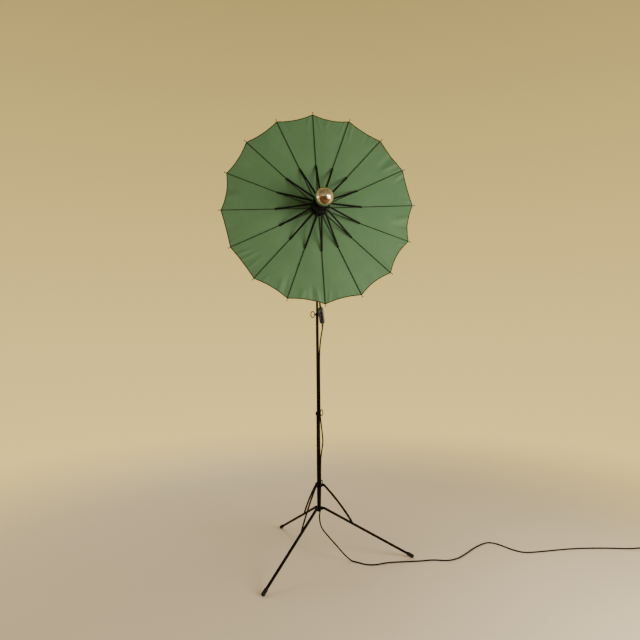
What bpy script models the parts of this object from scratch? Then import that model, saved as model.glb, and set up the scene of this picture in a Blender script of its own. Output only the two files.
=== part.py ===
"""Floor lamp with an umbrella shade: a sixteen-rib umbrella reflector on a telescopic tripod stand.

Metres, +Z up.  The bulb side faces -Y.  The origin is on the floor, in the middle of the object's
footprint, and STAND_X, STAND_Y is where the pole's axis stands.  The shade's own parts are drawn
about the shade's axis: local +Z runs out through the bulb, and z = 0 is the plane of the rib hinges.
"""

from math import asin, atan2, cos, hypot, pi, radians, sin

import bmesh
import bpy
from mathutils import Matrix, Vector

# Where the pole stands
STAND_X = -0.0132
STAND_Y = -0.0059

# Tripod
LEG_COUNT = 3
FIRST_LEG_AZIMUTH = radians(-121.6)
HUB_HEIGHT = 0.2265
COLLAR_HEIGHT = 0.3325
LINK_RADIUS = 0.024
FOOT_REACH = 0.430
FOOT_CENTRE_HEIGHT = 0.0045
LEG_ANGLE = atan2(HUB_HEIGHT - FOOT_CENTRE_HEIGHT, FOOT_REACH - LINK_RADIUS)
LEG_LENGTH = hypot(HUB_HEIGHT - FOOT_CENTRE_HEIGHT, FOOT_REACH - LINK_RADIUS)
LEG_WIDTH = 0.0088
LEG_DEPTH = 0.0090
LEG_WALL = 0.0012
BRACE_JOINT = 0.150
BRACE_WIDTH = 0.0095
BRACE_EYE_RADIUS = 0.0029
BRACE_BOW = 0.006
BRACE_THICKNESS = 0.003
FOOT_RADIUS = 0.0085
FOOT_LENGTH = 0.030
HINGE_PIN_RADIUS = 0.0015
HINGE_HOLE_RADIUS = 0.0018
RIVET_HEAD_RADIUS = 0.0036

# Pole and its clamps
LOWER_RADIUS = 0.0088
LOWER_BORE = 0.0070
MIDDLE_RADIUS = 0.0065
MIDDLE_BORE = 0.0054
UPPER_RADIUS = 0.0050
LOWER_FOOT = 0.212
MIDDLE_FOOT = 0.545
UPPER_FOOT = 0.885
LOWER_CLAMP = 0.6625
UPPER_CLAMP = 1.119
LOWER_CLAMP_AZIMUTH = radians(50.0)
UPPER_CLAMP_AZIMUTH = radians(180.0)
COLLAR_SCREW_AZIMUTH = radians(58.4)
COLLAR_SCREW_ABOVE = 0.001
WIDE_SLEEVE_RADIUS = 0.0125
NARROW_SLEEVE_RADIUS = 0.0076
SLEEVE_HALF = 0.008
SCREW_BOSS_RADIUS = 0.0040
SCREW_BORE_RADIUS = 0.0026
SCREW_RADIUS = 0.0022
SCREW_DEPTH = 0.0015
RING_WIRE_RADIUS = 0.0021
RING_HALF_HEIGHT = 0.0142
RING_HALF_WIDTH = 0.0086
RING_NECK = 0.0046

# Tilting head
HEAD_HEIGHT = 1.5835
SHADE_YAW = radians(8.2)
SHADE_TILT = radians(5.0)
EAR_GAP = 0.0040
EAR_OUTSIDE = 0.0070
EAR_RADIUS = 0.0075
KNOB_PIN_RADIUS = 0.0024
KNOB_HOLE_RADIUS = 0.0028

# Umbrella frame
RIB_COUNT = 16
FIRST_RIB_ANGLE = radians(92.5)
CROWN_AHEAD = 0.094
RIB_HINGE_RADIUS = 0.030
TIP_RADIUS = 0.444
RIB_SWEEP = 0.005
RIB_RADIUS = 0.0016
STRETCHER_REACH = 0.164
RUNNER_AHEAD = 0.0695
RUNNER_RADIUS = 0.040
STRETCHER_WIDTH = 0.0075
SLOT_FLOOR = 0.0262
CROWN_RADIUS = 0.036

# Lamp
SLEEVE_RADIUS = 0.0220
SLEEVE_FRONT = 0.1155
BULB_AHEAD = 0.1630
BULB_RADIUS = 0.040

# Canopy cloth
CLOTH_CORNER_RADIUS = 0.436
CLOTH_WAIST_RADIUS = 0.4155
CLOTH_HOLE_RADIUS = 0.0078
CLOTH_THICKNESS = 0.0009
CLOTH_BEHIND_RIB = 0.0030
CLOTH_AT_CROWN = -0.0054

# Lead, its switch and its plug
LEAD_RADIUS = 0.0032
LEAD_ON_FLOOR = LEAD_RADIUS + 0.0001
SWITCH_X = 0.0197
SWITCH_Y = -0.0150
SWITCH_Z = 1.114
SWITCH_LEAN = radians(7.0)
SWITCH_LENGTH = 0.080
SWITCH_WIDTH = 0.025
SWITCH_THICKNESS = 0.017
ROCKER_DEPTH = 0.0035
ROCKER_THROW = radians(8.0)
PLUG_X = 1.530
PLUG_Y = 0.052
PLUG_HEIGHT = 0.0072
GAP = 0.0003

BLACK = (0.018, 0.017, 0.016, 1.0)
NICKEL = (0.42, 0.36, 0.27, 1.0)
SAGE = (0.16, 0.27, 0.12, 1.0)
STEEL_BLACK = ("black_paint", BLACK, 0.42, 0.2)
LINK_BLACK = ("black_link", BLACK, 0.38, 0.5)
RUBBER_BLACK = ("black_rubber", (0.02, 0.02, 0.02, 1.0), 0.85, 0.0)
PLASTIC_BLACK = ("black_plastic", (0.02, 0.02, 0.021, 1.0), 0.3, 0.0)
LEAD_BLACK = ("lead_black", (0.02, 0.018, 0.017, 1.0), 0.6, 0.0)
NICKEL_PLATE = ("nickel", NICKEL, 0.3, 1.0)
RIB_STEEL = ("rib_steel", (0.03, 0.04, 0.02, 1.0), 0.4, 0.6)
SHADE_CLOTH = ("sage_cloth", SAGE, 0.6, 0.0)
MIRROR_GLASS = ("mirrored_glass", (0.78, 0.66, 0.48, 1.0), 0.08, 1.0)


def clear_scene():
    """Start from an empty scene."""
    for leftover in list(bpy.data.objects):
        bpy.data.objects.remove(leftover, do_unlink=True)


# ---------------------------------------------------------------- shapes


def blank(bm):
    """Turn a bmesh into a loose working object, its faces pointing out."""
    bmesh.ops.recalc_face_normals(bm, faces=bm.faces)
    mesh = bpy.data.meshes.new("blank")
    bm.to_mesh(mesh)
    bm.free()
    shape = bpy.data.objects.new("blank", mesh)
    bpy.context.scene.collection.objects.link(shape)
    return shape


def loft(rings, closed=False):
    """Skin a list of equal rings of points.  One-point rings make a pointed end."""
    bm = bmesh.new()
    loops = []
    for ring in rings:
        loops.append([bm.verts.new(point) for point in ring])
    pairs = list(zip(loops, loops[1:]))
    if closed:
        pairs.append((loops[-1], loops[0]))
    for near, far in pairs:
        sides = max(len(near), len(far))
        for i in range(sides):
            j = (i + 1) % sides
            if len(near) == 1:
                bm.faces.new((near[0], far[j], far[i]))
            elif len(far) == 1:
                bm.faces.new((near[i], near[j], far[0]))
            else:
                bm.faces.new((near[i], near[j], far[j], far[i]))
    if not closed:
        for end in (loops[0], loops[-1]):
            if len(end) > 2:
                bm.faces.new(end)
    return blank(bm)


def turned(profile, sides, closed=False):
    """Turn a profile of (radius, z) points about Z."""
    rings = []
    for radius, z in profile:
        if radius == 0.0:
            rings.append([Vector((0.0, 0.0, z))])
            continue
        steps = [2.0 * pi * k / sides for k in range(sides)]
        rings.append([Vector((radius * cos(a), radius * sin(a), z)) for a in steps])
    return loft(rings, closed)


def tube(outer, inner, low, high, sides):
    """A straight open tube along Z."""
    return turned([(outer, low), (outer, high), (inner, high), (inner, low)], sides, closed=True)


def pin(start, end, radius, sides):
    """A round bar between two points."""
    start = Vector(start)
    along = Vector(end) - start
    bar = turned([(radius, 0.0), (radius, along.length)], sides)
    turn = along.to_track_quat("Z", "Y").to_matrix().to_4x4()
    bar.data.transform(Matrix.Translation(start) @ turn)
    return bar


def plate(outline, low, high):
    """A flat plate: an outline of (x, z) points with its faces at y = low and y = high."""
    near = [Vector((x, low, z)) for x, z in outline]
    far = [Vector((x, high, z)) for x, z in outline]
    return loft([near, far])


def block(low, high):
    """A rectangular block between two corners."""
    outline = [(low[0], low[2]), (high[0], low[2]), (high[0], high[2]), (low[0], high[2])]
    return plate(outline, low[1], high[1])


def arc(centre, radius, start, end, steps):
    """Points of an arc in the (x, z) plane, its angles in degrees."""
    points = []
    for k in range(steps + 1):
        angle = radians(start + (end - start) * k / steps)
        points.append((centre[0] + radius * cos(angle), centre[1] + radius * sin(angle)))
    return points


def combine(target, tools, operation):
    """Join, cut or trim a working shape with others, which are used up."""
    for tool in tools:
        modifier = target.modifiers.new("combine", "BOOLEAN")
        modifier.operation = operation
        modifier.solver = "EXACT"
        modifier.object = tool
        depsgraph = bpy.context.evaluated_depsgraph_get()
        result = bpy.data.meshes.new_from_object(target.evaluated_get(depsgraph))
        target.modifiers.clear()
        target.data = result
        bpy.data.objects.remove(tool, do_unlink=True)
    return target


def join(target, *tools):
    """Weld shapes into one body."""
    return combine(target, tools, "UNION")


def cut(target, *tools):
    """Take shapes away from a body."""
    return combine(target, tools, "DIFFERENCE")


def moved(shape, x=0.0, y=0.0, z=0.0, about_z=0.0):
    """Turn a working shape about Z, then shift it."""
    shape.data.transform(Matrix.Translation((x, y, z)) @ Matrix.Rotation(about_z, 4, "Z"))
    return shape


def finished_mesh(shape):
    """Take the mesh off a working shape, smooth where it is round."""
    mesh = shape.data
    bpy.data.objects.remove(shape, do_unlink=True)
    mesh.shade_smooth()
    mesh.set_sharp_from_angle(angle=radians(35.0))
    return mesh


# ---------------------------------------------------------------- objects


def surface(look):
    """One material from its name, colour, roughness and metallic value."""
    name, colour, roughness, metallic = look
    made = bpy.data.materials.get(name)
    if made:
        return made
    made = bpy.data.materials.new(name)
    made.use_nodes = True
    shader = made.node_tree.nodes["Principled BSDF"]
    shader.inputs["Base Color"].default_value = colour
    shader.inputs["Roughness"].default_value = roughness
    shader.inputs["Metallic"].default_value = metallic
    return made


def part(name, mesh, look, parent=None, place=(0.0, 0.0, 0.0), turn=(0.0, 0.0, 0.0)):
    """One named piece."""
    if not mesh.materials:
        mesh.materials.append(surface(look))
    piece = bpy.data.objects.new(name, mesh)
    bpy.context.scene.collection.objects.link(piece)
    piece.parent = parent
    piece.location = place
    piece.rotation_euler = turn
    return piece


def axis(name, parent=None, place=(0.0, 0.0, 0.0), turn=(0.0, 0.0, 0.0)):
    """An empty that marks a frame or a joint's axis."""
    empty = bpy.data.objects.new(name, None)
    bpy.context.scene.collection.objects.link(empty)
    empty.parent = parent
    empty.location = place
    empty.rotation_euler = turn
    return empty


def leg_azimuths():
    """The directions of the three legs, seen from above."""
    return [FIRST_LEG_AZIMUTH + 2.0 * pi * k / LEG_COUNT for k in range(LEG_COUNT)]


def radial(radius, azimuth, z=0.0):
    """A point at a radius and a direction about Z."""
    return (radius * cos(azimuth), radius * sin(azimuth), z)


# ---------------------------------------------------------------- tripod


def leg_mesh():
    """An upward-facing steel channel, with the brace's rivet across it."""
    half = LEG_DEPTH / 2.0
    end = LEG_LENGTH - 0.5 * FOOT_LENGTH
    outline = arc((0.0, 0.0), half, 90, 270, 5) + [(end, -half), (end, half)]
    leg = plate(outline, -LEG_WIDTH / 2.0, LEG_WIDTH / 2.0)
    inside = LEG_WIDTH / 2.0 - LEG_WALL
    web_start = 0.0078
    above = 0.010
    cut(leg, block((-above, -inside, -half + LEG_WALL), (end + above, inside, above)))
    cut(leg, block((-above, -inside, -above), (web_start, inside, above)))
    wide = LEG_WIDTH
    cut(leg, pin((0.0, -wide, 0.0), (0.0, wide, 0.0), HINGE_HOLE_RADIUS, 10))
    join(leg, rivet(BRACE_JOINT, LEG_WIDTH / 2.0))
    return finished_mesh(leg)


def rivet(x, outside):
    """A rivet along Y at x, its heads against faces at plus and minus outside."""
    head = 0.0012
    shape = pin((x, -outside - 0.0001, 0.0), (x, outside + 0.0001, 0.0), HINGE_PIN_RADIUS, 8)
    for side in (-1.0, 1.0):
        inner = side * (outside - 0.0001)
        outer = side * (outside + head)
        join(shape, pin((x, inner, 0.0), (x, outer, 0.0), RIVET_HEAD_RADIUS - 0.0006, 10))
    return shape


def foot_mesh():
    """A rubber cap over the leg's end, trimmed flat where it stands on the floor."""
    back = LEG_LENGTH - FOOT_LENGTH
    foot = turned([(FOOT_RADIUS * 0.86, 0.0), (FOOT_RADIUS, 0.003), (FOOT_RADIUS, FOOT_LENGTH - 0.003),
                   (FOOT_RADIUS * 0.80, FOOT_LENGTH)], 16)
    foot.data.transform(Matrix.Translation((back, 0.0, 0.0)) @ Matrix.Rotation(pi / 2.0, 4, "Y"))
    half_width = LEG_WIDTH / 2.0 + GAP
    half_depth = LEG_DEPTH / 2.0 + GAP
    socket_end = LEG_LENGTH - 0.5 * FOOT_LENGTH + GAP
    cut(foot, block((back - 0.01, -half_width, -half_depth), (socket_end, half_width, half_depth)))
    below = Vector((sin(LEG_ANGLE), 0.0, -cos(LEG_ANGLE)))
    on_floor = below * HUB_HEIGHT
    bm = bmesh.new()
    bm.from_mesh(foot.data)
    everything = bm.verts[:] + bm.edges[:] + bm.faces[:]
    sliced = bmesh.ops.bisect_plane(bm, geom=everything, plane_co=on_floor, plane_no=below, clear_outer=True)
    rim = [item for item in sliced["geom_cut"] if isinstance(item, bmesh.types.BMEdge)]
    bmesh.ops.contextual_create(bm, geom=rim)
    bpy.data.objects.remove(foot, do_unlink=True)
    return finished_mesh(blank(bm))


def brace_length():
    """From the leg's rivet to the collar's pivot."""
    run = BRACE_JOINT * cos(LEG_ANGLE)
    rise = COLLAR_HEIGHT - HUB_HEIGHT + BRACE_JOINT * sin(LEG_ANGLE)
    return hypot(run, rise)


def brace_angle():
    """How far the brace leans above the horizontal, looking back at the pole."""
    rise = COLLAR_HEIGHT - HUB_HEIGHT + BRACE_JOINT * sin(LEG_ANGLE)
    return asin(rise / brace_length())


def brace_mesh():
    """A flat link, bowed a little outward, with an eye at the leg and a plain round end at the collar."""
    length = brace_length()
    half = BRACE_WIDTH / 2.0
    steps = 8
    inner_edge = []
    outer_edge = []
    for k in range(1, steps + 1):
        share = k / (steps + 1)
        middle = -4.0 * BRACE_BOW * share * (1.0 - share)
        inner_edge.append((length * share, middle + half))
        outer_edge.append((length * share, middle - half))
    outline = arc((0.0, 0.0), BRACE_EYE_RADIUS, 90, 270, 4) + outer_edge
    outline += arc((length, 0.0), half, -90, 90, 4) + inner_edge[::-1]
    brace = plate(outline, -BRACE_THICKNESS / 2.0, BRACE_THICKNESS / 2.0)
    cut(brace, pin((0.0, -0.01, 0.0), (0.0, 0.01, 0.0), HINGE_HOLE_RADIUS, 10))
    return finished_mesh(brace)


def make_legs(stand):
    """Three legs with their feet and braces, each on its own hinge axis."""
    legs = leg_mesh()
    feet = foot_mesh()
    braces = brace_mesh()
    for number, azimuth in enumerate(leg_azimuths(), start=1):
        hinge = radial(LINK_RADIUS, azimuth, HUB_HEIGHT)
        turn = (0.0, LEG_ANGLE, azimuth)
        part(f"leg_{number}", legs, STEEL_BLACK, stand, hinge, turn)
        part(f"foot_{number}", feet, RUBBER_BLACK, stand, hinge, turn)
        out = LINK_RADIUS + BRACE_JOINT * cos(LEG_ANGLE)
        joint = radial(out, azimuth, HUB_HEIGHT - BRACE_JOINT * sin(LEG_ANGLE))
        turn = (0.0, pi + brace_angle(), azimuth)
        part(f"brace_{number}", braces, LINK_BLACK, stand, joint, turn)


def hub_tongue():
    """One brazed lug of the hub, with the leg's hinge pin and its rivet heads."""
    half_thickness = 0.0028
    nose_radius = 0.0052
    root = LOWER_RADIUS - 0.0006
    nose = arc((LINK_RADIUS, 0.0), nose_radius, -90, 90, 4)
    tongue = plate([(root, -0.0075)] + nose + [(root, 0.0085)], -half_thickness, half_thickness)
    wall = LEG_WIDTH / 2.0 + GAP
    end = wall + 0.001
    join(tongue, pin((LINK_RADIUS, -end, 0.0), (LINK_RADIUS, end, 0.0), HINGE_PIN_RADIUS, 8))
    for side in (-1.0, 1.0):
        inner = side * wall
        outer = side * (wall + 0.0015)
        join(tongue, pin((LINK_RADIUS, inner, 0.0), (LINK_RADIUS, outer, 0.0), RIVET_HEAD_RADIUS, 10))
    return tongue


def add_screw_seat(post, height, azimuth, surface_radius):
    """A boss on a clamp, with the bore that its thumb screw turns in."""
    start = surface_radius - 0.001
    seat = pin((start, 0.0, 0.0), (surface_radius + 0.0022, 0.0, 0.0), SCREW_BOSS_RADIUS, 10)
    join(post, moved(seat, z=height, about_z=azimuth))
    bottom = surface_radius - SCREW_DEPTH - GAP
    bore = pin((bottom, 0.0, 0.0), (surface_radius + 0.01, 0.0, 0.0), SCREW_BORE_RADIUS, 10)
    cut(post, moved(bore, z=height, about_z=azimuth))


def clamped_tube(radius, bore, foot, clamp, sleeve_radius, sides):
    """A telescopic tube that ends in a thicker clamp sleeve."""
    low = clamp - SLEEVE_HALF
    high = clamp + SLEEVE_HALF
    chamfer = 0.001
    profile = [(radius, foot), (radius, low), (sleeve_radius, low + chamfer), (sleeve_radius, high - chamfer),
               (radius, high), (bore, high), (bore, foot)]
    return turned(profile, sides, closed=True)


def make_lower_tube(stand):
    """The bottom tube with its brazed hub lugs and its clamp sleeve."""
    post = clamped_tube(LOWER_RADIUS, LOWER_BORE, LOWER_FOOT, LOWER_CLAMP, WIDE_SLEEVE_RADIUS, 20)
    for azimuth in leg_azimuths():
        join(post, moved(hub_tongue(), z=HUB_HEIGHT, about_z=azimuth))
    add_screw_seat(post, LOWER_CLAMP, LOWER_CLAMP_AZIMUTH, WIDE_SLEEVE_RADIUS)
    part("lower_tube", finished_mesh(post), STEEL_BLACK, stand)


def make_middle_tube(stand):
    """The middle tube with the clamp sleeve for the upper one."""
    post = clamped_tube(MIDDLE_RADIUS, MIDDLE_BORE, MIDDLE_FOOT, UPPER_CLAMP, NARROW_SLEEVE_RADIUS, 16)
    add_screw_seat(post, UPPER_CLAMP, UPPER_CLAMP_AZIMUTH, NARROW_SLEEVE_RADIUS)
    part("middle_tube", finished_mesh(post), STEEL_BLACK, stand)


def make_upper_tube(stand):
    """The top tube, which carries the head."""
    post = tube(UPPER_RADIUS, UPPER_RADIUS - 0.001, UPPER_FOOT, HEAD_HEIGHT - 0.026, 16)
    part("upper_tube", finished_mesh(post), STEEL_BLACK, stand)


def collar_ear(side):
    """One cheek of a collar lug, with the head of its pivot rivet; side is -1 or 1."""
    thickness = 0.0016
    nose_radius = 0.0052
    inside = BRACE_THICKNESS / 2.0 + 0.0005
    outside = inside + thickness
    root = WIDE_SLEEVE_RADIUS - 0.001
    outline = [(root, -0.006)] + arc((LINK_RADIUS, 0.0), nose_radius, -90, 90, 4) + [(root, 0.007)]
    ear = plate(outline, min(side * inside, side * outside), max(side * inside, side * outside))
    inner = (LINK_RADIUS, side * (outside - 0.0002), 0.0)
    outer = (LINK_RADIUS, side * (outside + 0.0013), 0.0)
    return join(ear, pin(inner, outer, RIVET_HEAD_RADIUS, 10))


def make_collar(stand):
    """The sliding collar with a forked lug for each brace and the boss of its screw."""
    collar = tube(WIDE_SLEEVE_RADIUS, LOWER_RADIUS + GAP, -0.010, 0.012, 20)
    for azimuth in leg_azimuths():
        for side in (-1.0, 1.0):
            join(collar, moved(collar_ear(side), about_z=azimuth))
    add_screw_seat(collar, COLLAR_SCREW_ABOVE, COLLAR_SCREW_AZIMUTH, WIDE_SLEEVE_RADIUS)
    part("tripod_collar", finished_mesh(collar), STEEL_BLACK, stand, (0.0, 0.0, COLLAR_HEIGHT))


def thumb_screw_mesh():
    """A screw along X whose handle is an open oval ring of bent wire."""
    centre = RING_NECK + RING_HALF_WIDTH
    bends = 18
    sides = 6
    rings = []
    for k in range(bends):
        angle = 2.0 * pi * k / bends
        middle = Vector((centre + RING_HALF_WIDTH * cos(angle), 0.0, RING_HALF_HEIGHT * sin(angle)))
        outward = Vector((cos(angle) * RING_HALF_HEIGHT, 0.0, sin(angle) * RING_HALF_WIDTH)).normalized()
        ring = []
        for step in range(sides):
            turn = 2.0 * pi * step / sides
            ring.append(middle + RING_WIRE_RADIUS * (outward * cos(turn) + Vector((0.0, sin(turn), 0.0))))
        rings.append(ring)
    screw = loft(rings, closed=True)
    join(screw, pin((-SCREW_DEPTH, 0.0, 0.0), (RING_NECK + 0.0005, 0.0, 0.0), SCREW_RADIUS, 10))
    return finished_mesh(screw)


def make_thumb_screws(stand):
    """The three ring-handled screws, each with its origin on the axis that it turns about."""
    seats = [("collar_screw", COLLAR_HEIGHT + COLLAR_SCREW_ABOVE, COLLAR_SCREW_AZIMUTH, WIDE_SLEEVE_RADIUS),
             ("middle_clamp_screw", LOWER_CLAMP, LOWER_CLAMP_AZIMUTH, WIDE_SLEEVE_RADIUS),
             ("upper_clamp_screw", UPPER_CLAMP, UPPER_CLAMP_AZIMUTH, NARROW_SLEEVE_RADIUS)]
    mesh = thumb_screw_mesh()
    for name, height, azimuth, seat in seats:
        part(name, mesh, NICKEL_PLATE, stand, radial(seat, azimuth, height), (0.0, 0.0, azimuth))


# ---------------------------------------------------------------- head


def make_yoke(head):
    """The fork on top of the pole.  Its local X is the tilt axis."""
    top = -0.0235
    bottom = -0.052
    socket_radius = 0.0085
    fit = UPPER_RADIUS + GAP
    profile = [(0.0, top + 0.0025), (socket_radius, top + 0.0025), (socket_radius, bottom), (fit, bottom),
               (fit, top - 0.0022), (0.0, top - 0.0022)]
    yoke = turned(profile, 16)
    for side in (-1.0, 1.0):
        outline = [(-EAR_RADIUS, top), (EAR_RADIUS, top)] + arc((0.0, 0.0), EAR_RADIUS, 0, 180, 6)
        ear = plate(outline, min(side * EAR_GAP, side * EAR_OUTSIDE), max(side * EAR_GAP, side * EAR_OUTSIDE))
        ear.data.transform(Matrix.Rotation(pi / 2.0, 4, "Z"))
        join(yoke, ear)
    join(yoke, pin((EAR_OUTSIDE - 0.0002, 0.0, 0.0), (EAR_OUTSIDE + 0.0035, 0.0, 0.0), 0.0050, 6))
    cut(yoke, pin((-0.02, 0.0, 0.0), (0.02, 0.0, 0.0), KNOB_HOLE_RADIUS, 12))
    part("tilt_yoke", finished_mesh(yoke), STEEL_BLACK, head)


def make_tilt_knob(head):
    """The clamping knob, its shaft through both ears of the yoke and the shade's tongue."""
    lobes = 10
    rings = []
    for out, scale in ((GAP, 0.92), (0.0035, 1.0), (0.0105, 1.0), (0.013, 0.80)):
        ring = []
        for k in range(2 * lobes):
            radius = scale * (0.0100 if k % 2 else 0.0090)
            angle = pi * k / lobes
            ring.append(Vector((-EAR_OUTSIDE - out, radius * cos(angle), radius * sin(angle))))
        rings.append(ring)
    knob = loft(rings)
    join(knob, pin((-EAR_OUTSIDE - 0.002, 0.0, 0.0), (EAR_OUTSIDE + 0.0045, 0.0, 0.0), KNOB_PIN_RADIUS, 12))
    part("tilt_knob", finished_mesh(knob), PLASTIC_BLACK, head)


# ---------------------------------------------------------------- umbrella


def rib_angles():
    """The directions of the ribs about the shade's axis, clockwise from the top one."""
    return [FIRST_RIB_ANGLE - 2.0 * pi * k / RIB_COUNT for k in range(RIB_COUNT)]


def rib_height(radius):
    """How far a rib has swept forward of the hinge plane at a radius."""
    return RIB_SWEEP * (radius / TIP_RADIUS) ** 2


def slots(width, low, high):
    """Radial blades that cut one slot for each rib, from the slot's floor outward."""
    blades = []
    for angle in rib_angles():
        blade = block((SLOT_FLOOR, -width / 2.0, low), (0.05, width / 2.0, high))
        blades.append(moved(blade, about_z=angle))
    return blades


def make_shade_hub(shade):
    """The turned hub: tilting tongue, shaft, cloth washer, slotted crown and its hinge wire."""
    washer = 0.0200
    shaft = 0.0060
    profile = [(0.0, 0.0050), (CROWN_RADIUS, 0.0050), (CROWN_RADIUS, -0.0050), (shaft, -0.0050),
               (shaft, -0.0076), (washer, -0.0080), (washer, -0.0105), (0.0100, -0.0130), (shaft, -0.0170),
               (shaft, -CROWN_AHEAD + 0.0115), (0.0, -CROWN_AHEAD + 0.0115)]
    hub = turned(profile, RIB_COUNT)
    cut(hub, *slots(0.0026, -0.01, 0.01))
    for angle in rib_angles():
        wire = pin((RIB_HINGE_RADIUS, -0.0018, 0.0), (RIB_HINGE_RADIUS, 0.0018, 0.0), 0.0008, 4)
        join(hub, moved(wire, about_z=angle))
    tongue_half = EAR_GAP - 0.0005
    outline = arc((0.0, -CROWN_AHEAD), 0.0070, 180, 360, 6) + [(0.0058, -CROWN_AHEAD + 0.014)]
    outline += [(-0.0058, -CROWN_AHEAD + 0.014)]
    tongue = plate(outline, -tongue_half, tongue_half)
    cut(tongue, pin((0.0, -0.01, -CROWN_AHEAD), (0.0, 0.01, -CROWN_AHEAD), KNOB_HOLE_RADIUS, 12))
    join(hub, moved(tongue, about_z=pi / 2.0))
    gland = pin((0.010, -0.010, -0.009), (0.010, -0.010, -0.0240), 0.0046, 10)
    join(hub, gland)
    part("shade_hub", finished_mesh(hub), STEEL_BLACK, shade, (0.0, 0.0, CROWN_AHEAD))


def rib_mesh():
    """A round steel rib with a flat eye at the crown, a stretcher pin and a small tip bead."""
    eye = plate(arc((0.0, 0.0), 0.0026, 90, 270, 3) + [(0.012, -0.0018), (0.012, 0.0018)], -0.0009, 0.0009)
    cut(eye, pin((0.0, -0.01, 0.0), (0.0, 0.01, 0.0), 0.0012, 6))
    base = rib_height(RIB_HINGE_RADIUS)
    bead_start = TIP_RADIUS - 0.0065
    stations = [(0.0395, RIB_RADIUS), (0.170, RIB_RADIUS), (0.310, RIB_RADIUS * 0.95),
                (bead_start, RIB_RADIUS * 0.85), (TIP_RADIUS - 0.0040, 0.0026), (TIP_RADIUS, 0.0014)]
    rings = []
    for radius, thick in stations:
        ring = []
        for step in range(6):
            turn = 2.0 * pi * (step + 0.5) / 6
            y = thick * cos(turn)
            z = rib_height(radius) - base + thick * sin(turn)
            ring.append(Vector((radius - RIB_HINGE_RADIUS, y, z)))
        rings.append(ring)
    rib = loft(rings)
    join(rib, eye)
    z = stretcher_joint_height() - base
    half = STRETCHER_WIDTH / 2.0 + GAP
    join(rib, pin((STRETCHER_REACH, -half, z), (STRETCHER_REACH, half, z), 0.0010, 6))
    return finished_mesh(rib)


def stretcher_joint_height():
    """How far forward of the hinge plane the stretchers meet the ribs."""
    return rib_height(RIB_HINGE_RADIUS + STRETCHER_REACH)


def stretcher_length():
    """From the rib's pin to the runner's pivot circle."""
    return hypot(STRETCHER_REACH, RUNNER_AHEAD - stretcher_joint_height())


def stretcher_lean():
    """The angle between a stretcher and the hinge plane."""
    return atan2(RUNNER_AHEAD - stretcher_joint_height(), STRETCHER_REACH)


def stretcher_mesh():
    """A black bar, forked over the rib at one end and with a flat tongue at the runner."""
    length = stretcher_length()
    half = STRETCHER_WIDTH / 2.0
    fork = 0.0022
    tongue = 0.0011
    front = -0.0015
    back = 0.0013
    outline = arc((0.0, 0.0), 0.0023, 90, 270, 3)
    outline += [(0.0125, front), (length - 0.014, front), (length - 0.012, -0.0024)]
    outline += arc((length, 0.0), 0.0024, -90, 90, 3)
    outline += [(length - 0.012, 0.0024), (length - 0.014, back), (0.0125, back)]
    bar = plate(outline, -half, half)
    cut(bar, block((-0.01, -fork, -0.01), (0.0100, fork, 0.01)))
    cut(bar, pin((0.0, -0.01, 0.0), (0.0, 0.01, 0.0), 0.0013, 6))
    for side in (-1.0, 1.0):
        low = min(side * tongue, side * 0.01)
        high = max(side * tongue, side * 0.01)
        cut(bar, block((length - 0.015, low, -0.01), (length + 0.01, high, 0.01)))
    return finished_mesh(bar)


def make_ribs(shade):
    """Sixteen ribs on the crown, each with a stretcher hinged at its pin."""
    ribs = rib_mesh()
    stretchers = stretcher_mesh()
    out = RIB_HINGE_RADIUS + STRETCHER_REACH
    for number, angle in enumerate(rib_angles(), start=1):
        part(f"rib_{number:02d}", ribs, RIB_STEEL, shade, radial(RIB_HINGE_RADIUS, angle, CROWN_AHEAD),
             (0.0, 0.0, angle))
        joint = radial(out, angle, CROWN_AHEAD + stretcher_joint_height() - rib_height(RIB_HINGE_RADIUS))
        part(f"stretcher_{number:02d}", stretchers, LINK_BLACK, shade, joint,
             (0.0, pi + stretcher_lean(), angle))


def make_runner(shade):
    """The sliding runner: a slotted ring for the stretchers and a long skirt on the lamp's sleeve."""
    bore = SLEEVE_RADIUS + 0.0005
    skirt = 0.0290
    back = -0.038
    front = 0.006
    profile = [(bore, back), (skirt, back), (skirt, -0.011), (RUNNER_RADIUS, -0.008),
               (RUNNER_RADIUS, front - 0.001), (RUNNER_RADIUS - 0.001, front), (bore, front)]
    runner = turned(profile, 32, closed=True)
    cut(runner, *slots(0.0034, -0.0095, 0.01))
    part("runner", finished_mesh(runner), PLASTIC_BLACK, shade, (0.0, 0.0, CROWN_AHEAD + RUNNER_AHEAD))


def make_lamp_holder(shade):
    """The sleeve that the runner rides on, with the bulb's socket in its front end."""
    socket = 0.0145
    bottom = 0.020
    back = 0.0053
    profile = [(0.0, back), (SLEEVE_RADIUS, back), (SLEEVE_RADIUS, SLEEVE_FRONT - 0.002),
               (SLEEVE_RADIUS - 0.0015, SLEEVE_FRONT), (socket, SLEEVE_FRONT), (socket, bottom),
               (0.0, bottom)]
    part("lamp_holder", finished_mesh(turned(profile, 24)), PLASTIC_BLACK, shade, (0.0, 0.0, CROWN_AHEAD))


def globe_points(radius, neck_radius, steps):
    """A profile round a globe, from its neck forward to just before its pole."""
    start = pi - asin(neck_radius / radius)
    angles = [start * (1.0 - k / steps) for k in range(steps)]
    return [(radius * sin(a), BULB_AHEAD + radius * cos(a)) for a in angles]


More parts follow.
